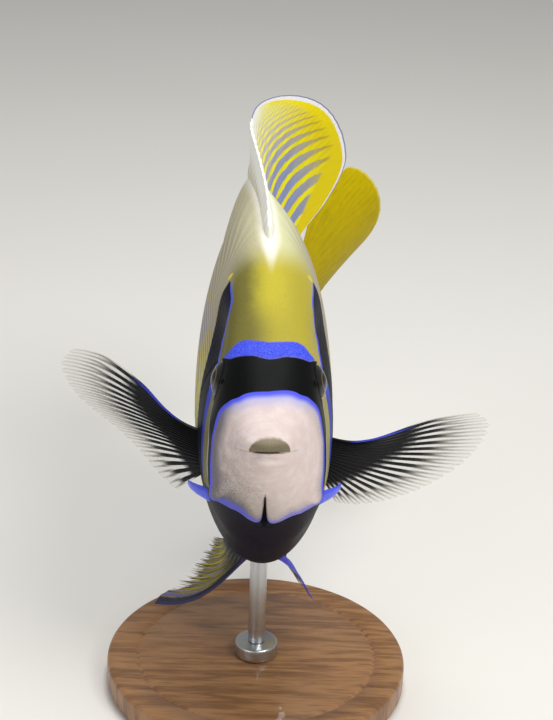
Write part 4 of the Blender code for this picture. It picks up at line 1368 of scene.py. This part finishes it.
def bellyFinFinish():
    f = Finish("pelvicFin")
    c = bellyColours
    share, reach, phase, fish, mottle = finParts(f, 0.9)
    thin = f.edge(reach, 0.4, 1.0) * 0.17
    fine = f.bars(phase * 3, 0.26, 0.4, thin)
    rays = f.between(f.edge(reach, 0.3, 0.55), f.bars(phase, 0.22, 0.34, thin), fine)
    isLeft = f.edge(f.split(fish)[2], -1, 1)
    along = f.speckle(f.pair(phase * 2.2, reach * 1.6), 1.0, 3.0, 0.5)
    webs = f.over(f.edge(along, 0.42, 0.6), *c["webs"])
    f.colour = f.over(rays, webs, f.over(f.edge(along, 0.4, 0.62), *c["rays"]))
    # dark at the root and along the front, with a lilac streak and a blue first ray
    f.paint(f.edge(reach + mottle * 0.1, 0.5, 0.12), c["root"])
    f.paint(f.edge(share + mottle * 0.08 + reach * 0.1, 0.28, 0.16), c["front"])
    streak = f.edge(abs(share - 0.11), 0.035, 0.01) * f.edge(reach, 0.2, 0.4)
    f.paint(streak * 0.7 * (1 - isLeft), c["streak"])
    f.paint(f.edge(share, 0.05, 0.025) * (1 - isLeft) * 0.7, c["edge"])
    spineBlue = f.edge(share, 0.34, 0.2) * isLeft * f.edge(reach, 0.06, 0.16)
    f.paint(spineBlue, f.over(fine, *c["spine"]))
    # hairs of every length along the rear margin
    hair = f.speckle(f.pair(phase * 7, reach * 0.7), 2.0, 2.0, 0.5)
    alpha = f.edge(hair - 0.32 - (reach - 0.66), -0.04, 0.05)
    alpha = f.most(alpha, f.edge(share, 0.2, 0.12))
    return f.done(
        Roughness=0.48, Alpha=alpha, Normal=f.relief(rays, 0.35, 0.0004), Coat_Weight=0.03,
        Specular_IOR_Level=0.25,
    )


split = backFin["split"]
seam = backFin["seam"] / fishPose["percent"] / (backFin["base"][1] - backFin["base"][0])
spiny = makeFin("spinyDorsal", edgeFinSurface(backFin, True, 0.0, split), finShapes["spiny"])
join(spiny, spinyFinFinish(), "yellow_fin", "dorsal_fin_spiny")
soft = makeFin("softDorsal", edgeFinSurface(backFin, True, split + seam, 1.0), finShapes["soft"])
markSoftFin(soft)
join(soft, softFinFinish(), "yellow_fin", "dorsal_fin_soft")
anal = makeFin("analFin", edgeFinSurface(analFin, False), finShapes["anal"])
join(anal, analFinFinish(), "blue_fin", "anal_fin")
tail = makeFin("tailFin", tailSurface, finShapes["tail"])
join(tail, tailFinFinish(), "yellow_fin", "caudal_fin")
print("dorsal, anal and tail fins done")

sideMaterial, bellyMaterial = sideFinFinish(), bellyFinFinish()
for side, name in sides:
    piece = makeFin(f"pectoralFin_{name}", sideFinSurface(side, name), finShapes["side"])
    join(piece, sideMaterial, "dark_fin", f"pectoral_fin_{name}")
    piece = makeFin(f"pelvicFin_{name}", bellyFinSurface(side, name), finShapes["belly"])
    join(piece, bellyMaterial, "olive_fin", f"pelvic_fin_{name}")
print("paired fins done")

# The stand

# metres, and the groove's place as a share of the base's radius
stand = {
    "baseSides": 160,
    "baseBevel": 0.0022,
    "grooveIn": 0.16,
    "grooveWide": 0.0008,
    "grooveDeep": 0.0009,
    "collarSides": 96,
    "collarBevel": 0.0012,
    "rodSides": 64,
    "bevelSteps": 4,
    "bevelAngle": 40,
    "smoothAngle": 35,
    "steel": (196, 198, 200),
}


def turned(node, name, sides, bevel):
    # a round bar in the node's own box
    low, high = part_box(node)
    bpy.ops.object.select_all(action="DESELECT")
    bpy.ops.mesh.primitive_cylinder_add(
        vertices=sides,
        radius=(high.x - low.x) / 2,
        depth=high.z - low.z,
        location=(standCentre.x, standCentre.y, (low.z + high.z) / 2),
    )
    obj = added(name)
    onlySelect(obj)
    bpy.ops.object.transform_apply(location=True, rotation=True, scale=True)
    if bevel:
        rounding = obj.modifiers.new("edge", "BEVEL")
        rounding.width, rounding.segments = bevel, stand["bevelSteps"]
        rounding.limit_method, rounding.angle_limit = "ANGLE", math.radians(stand["bevelAngle"])
        applyAll(obj)
    onlySelect(obj)
    bpy.ops.object.shade_smooth_by_angle(angle=math.radians(stand["smoothAngle"]))
    return obj


def ringGroove(obj):
    # a fine turned line round the top of the base
    mesh, wide, deep = obj.data, stand["grooveWide"], stand["grooveDeep"]
    top = max(v.co.z for v in mesh.vertices)
    onlySelect(obj)
    bpy.ops.object.mode_set(mode="EDIT")
    bpy.ops.mesh.select_mode(type="FACE")
    bpy.ops.mesh.select_all(action="DESELECT")
    bpy.ops.object.mode_set(mode="OBJECT")
    for face in mesh.polygons:
        if face.normal.z > 0.9 and abs(face.center.z - top) < 1e-6:
            face.select = True
            radius = (mesh.vertices[face.vertices[0]].co - face.center).length
    bpy.ops.object.mode_set(mode="EDIT")
    for inward, drop in ((radius * stand["grooveIn"], 0), (wide, -deep), (wide, 0), (wide, deep)):
        bpy.ops.mesh.inset(thickness=inward, depth=drop)
    bpy.ops.object.mode_set(mode="OBJECT")


woodColours = {
    "bands": ((122, 84, 52), (164, 120, 78)), "pores": (76, 48, 28),
}


def woodFinish():
    f = Finish("standWood")
    c = woodColours
    where = f.onObject()
    grainPlace = f.stretched(where, (9.0, 90.0, 9.0))
    warp = f.speckle(f.stretched(where, (6.0, 14.0, 6.0)), 1.0, 3.0, 0.5)
    rings = f.speckle(grainPlace, 1.1, 6.0, 0.6)
    pores = f.speckle(f.stretched(where, (60.0, 1400.0, 60.0)), 1.0, 3.0, 0.6)
    bands = abs(f.fraction(rings * 5 + warp * 3) - 0.5) * 2
    f.colour = f.over(bands, *c["bands"])
    f.paint(f.edge(pores, 0.56, 0.7) * 0.45, c["pores"])
    relief = f.relief(pores + bands * 0.3, 0.2, 0.0003)
    return f.done(Roughness=0.42, Normal=relief, Coat_Weight=0.2)


def steelFinish():
    f = Finish("standSteel")
    where = f.onObject()
    brushed = f.speckle(f.stretched(where, (60.0, 60.0, 2600.0)), 1.0, 3.0, 0.6)
    f.colour = tint(*stand["steel"])
    rough = 0.22 + brushed * 0.16
    return f.done(Metallic=1.0, Roughness=rough, Normal=f.relief(brushed, 0.1, 0.0001))


steel = steelFinish()
base = turned("stand_base", "standBase", stand["baseSides"], stand["baseBevel"])
ringGroove(base)
join(base, woodFinish(), "stand_wood", "stand_base")
collar = turned("stand_collar", "standCollar", stand["collarSides"], stand["collarBevel"])
join(collar, steel, "stand_steel", "stand_collar")
join(turned("stand_rod", "standRod", stand["rodSides"], 0), steel, "stand_steel", "stand_rod")
print("stand done")

# Floor, lights and camera

studio = {
    "floorSize": 8.0,
    "floor": ((238, 236, 230), (244, 242, 237)),
    "world": 0.33,
    "lights": (
        # place, aim, size, watts, colour
        ((0.75, -0.85, 1.25), (0, 0, 0.17), 0.7, 12.0, (1.0, 0.99, 0.96)),
        ((0.05, 0.15, 1.35), (0, 0.02, 0.2), 0.45, 7.0, (1.0, 1.0, 1.0)),
        ((-0.9, -1.0, 0.6), (0, -0.05, 0.15), 0.9, 3.0, (0.97, 0.98, 1.0)),
    ),
}
# distance in percent of the fish, pans in radians, and the other angles in degrees
camera = {
    "distance": 253.0, "elevation": 11.5, "azimuth": -0.06, "panRight": 0.004, "panUp": 0.055,
    "roll": -1.869, "focal": 1708.0, "imageHeight": 720,
}


def makeStage():
    bpy.ops.object.select_all(action="DESELECT")
    bpy.ops.mesh.primitive_plane_add(size=studio["floorSize"])
    floor = added("floor")
    f = Finish("paleFloor")
    where = f.onObject()
    cloud = f.speckle(where, 3.0, 3.0, 0.5)
    f.colour = f.over(cloud, *studio["floor"])
    floor.data.materials.append(f.done(Roughness=0.9))
    world = bpy.data.worlds.new("studio")
    world.use_nodes = True
    world.node_tree.nodes["Background"].inputs[0].default_value = (1.0, 1.0, 1.0, 1)
    world.node_tree.nodes["Background"].inputs[1].default_value = studio["world"]
    bpy.context.scene.world = world
    for i, (at, aim, size, watts, colour) in enumerate(studio["lights"]):
        data = bpy.data.lights.new(f"softbox{i}", "AREA")
        data.shape, data.size, data.energy, data.color = "DISK", size, watts, colour
        lamp = bpy.data.objects.new(f"softbox{i}", data)
        lamp.location = at
        lamp.rotation_euler = (Vector(aim) - Vector(at)).to_track_quat("-Z", "Y").to_euler()
        bpy.context.scene.collection.objects.link(lamp)


def swung(first, second, angle):
    c, s = math.cos(angle), math.sin(angle)
    return first * c - second * s, first * s + second * c


def makeCamera():
    # at the photo's place and angle, worked out round the level fish and turned with its nose
    c = camera
    e, a = math.radians(c["elevation"]), math.radians(c["azimuth"])
    outward = Vector((math.sin(a) * math.cos(e), -math.cos(a) * math.cos(e), math.sin(e)))
    at = c["distance"] * outward
    ahead = (-at).normalized()
    right = ahead.cross(Vector((0, 0, 1))).normalized()
    upward = right.cross(ahead)
    right, ahead = swung(right, ahead, c["panRight"])
    upward, ahead = swung(upward, ahead, c["panUp"])
    right, upward = swung(right, upward, math.radians(c["roll"]))
    turn = Matrix(noseTurn.tolist())
    data = bpy.data.cameras.new("camera")
    data.lens = c["focal"] * data.sensor_width / c["imageHeight"]
    data.clip_start, data.clip_end = 0.01, 50
    obj = bpy.data.objects.new("camera", data)
    basis = Matrix((turn @ right, turn @ upward, turn @ -ahead)).transposed()
    stands = Matrix.Translation(turn @ at * fishPose["percent"] + Vector(fishShift))
    obj.matrix_world = stands @ basis.to_4x4()
    bpy.context.scene.collection.objects.link(obj)
    bpy.context.scene.camera = obj


makeStage()
makeCamera()
bpy.context.scene.view_settings.view_transform = "Standard"
bpy.context.view_layer.update()
print("stage done")
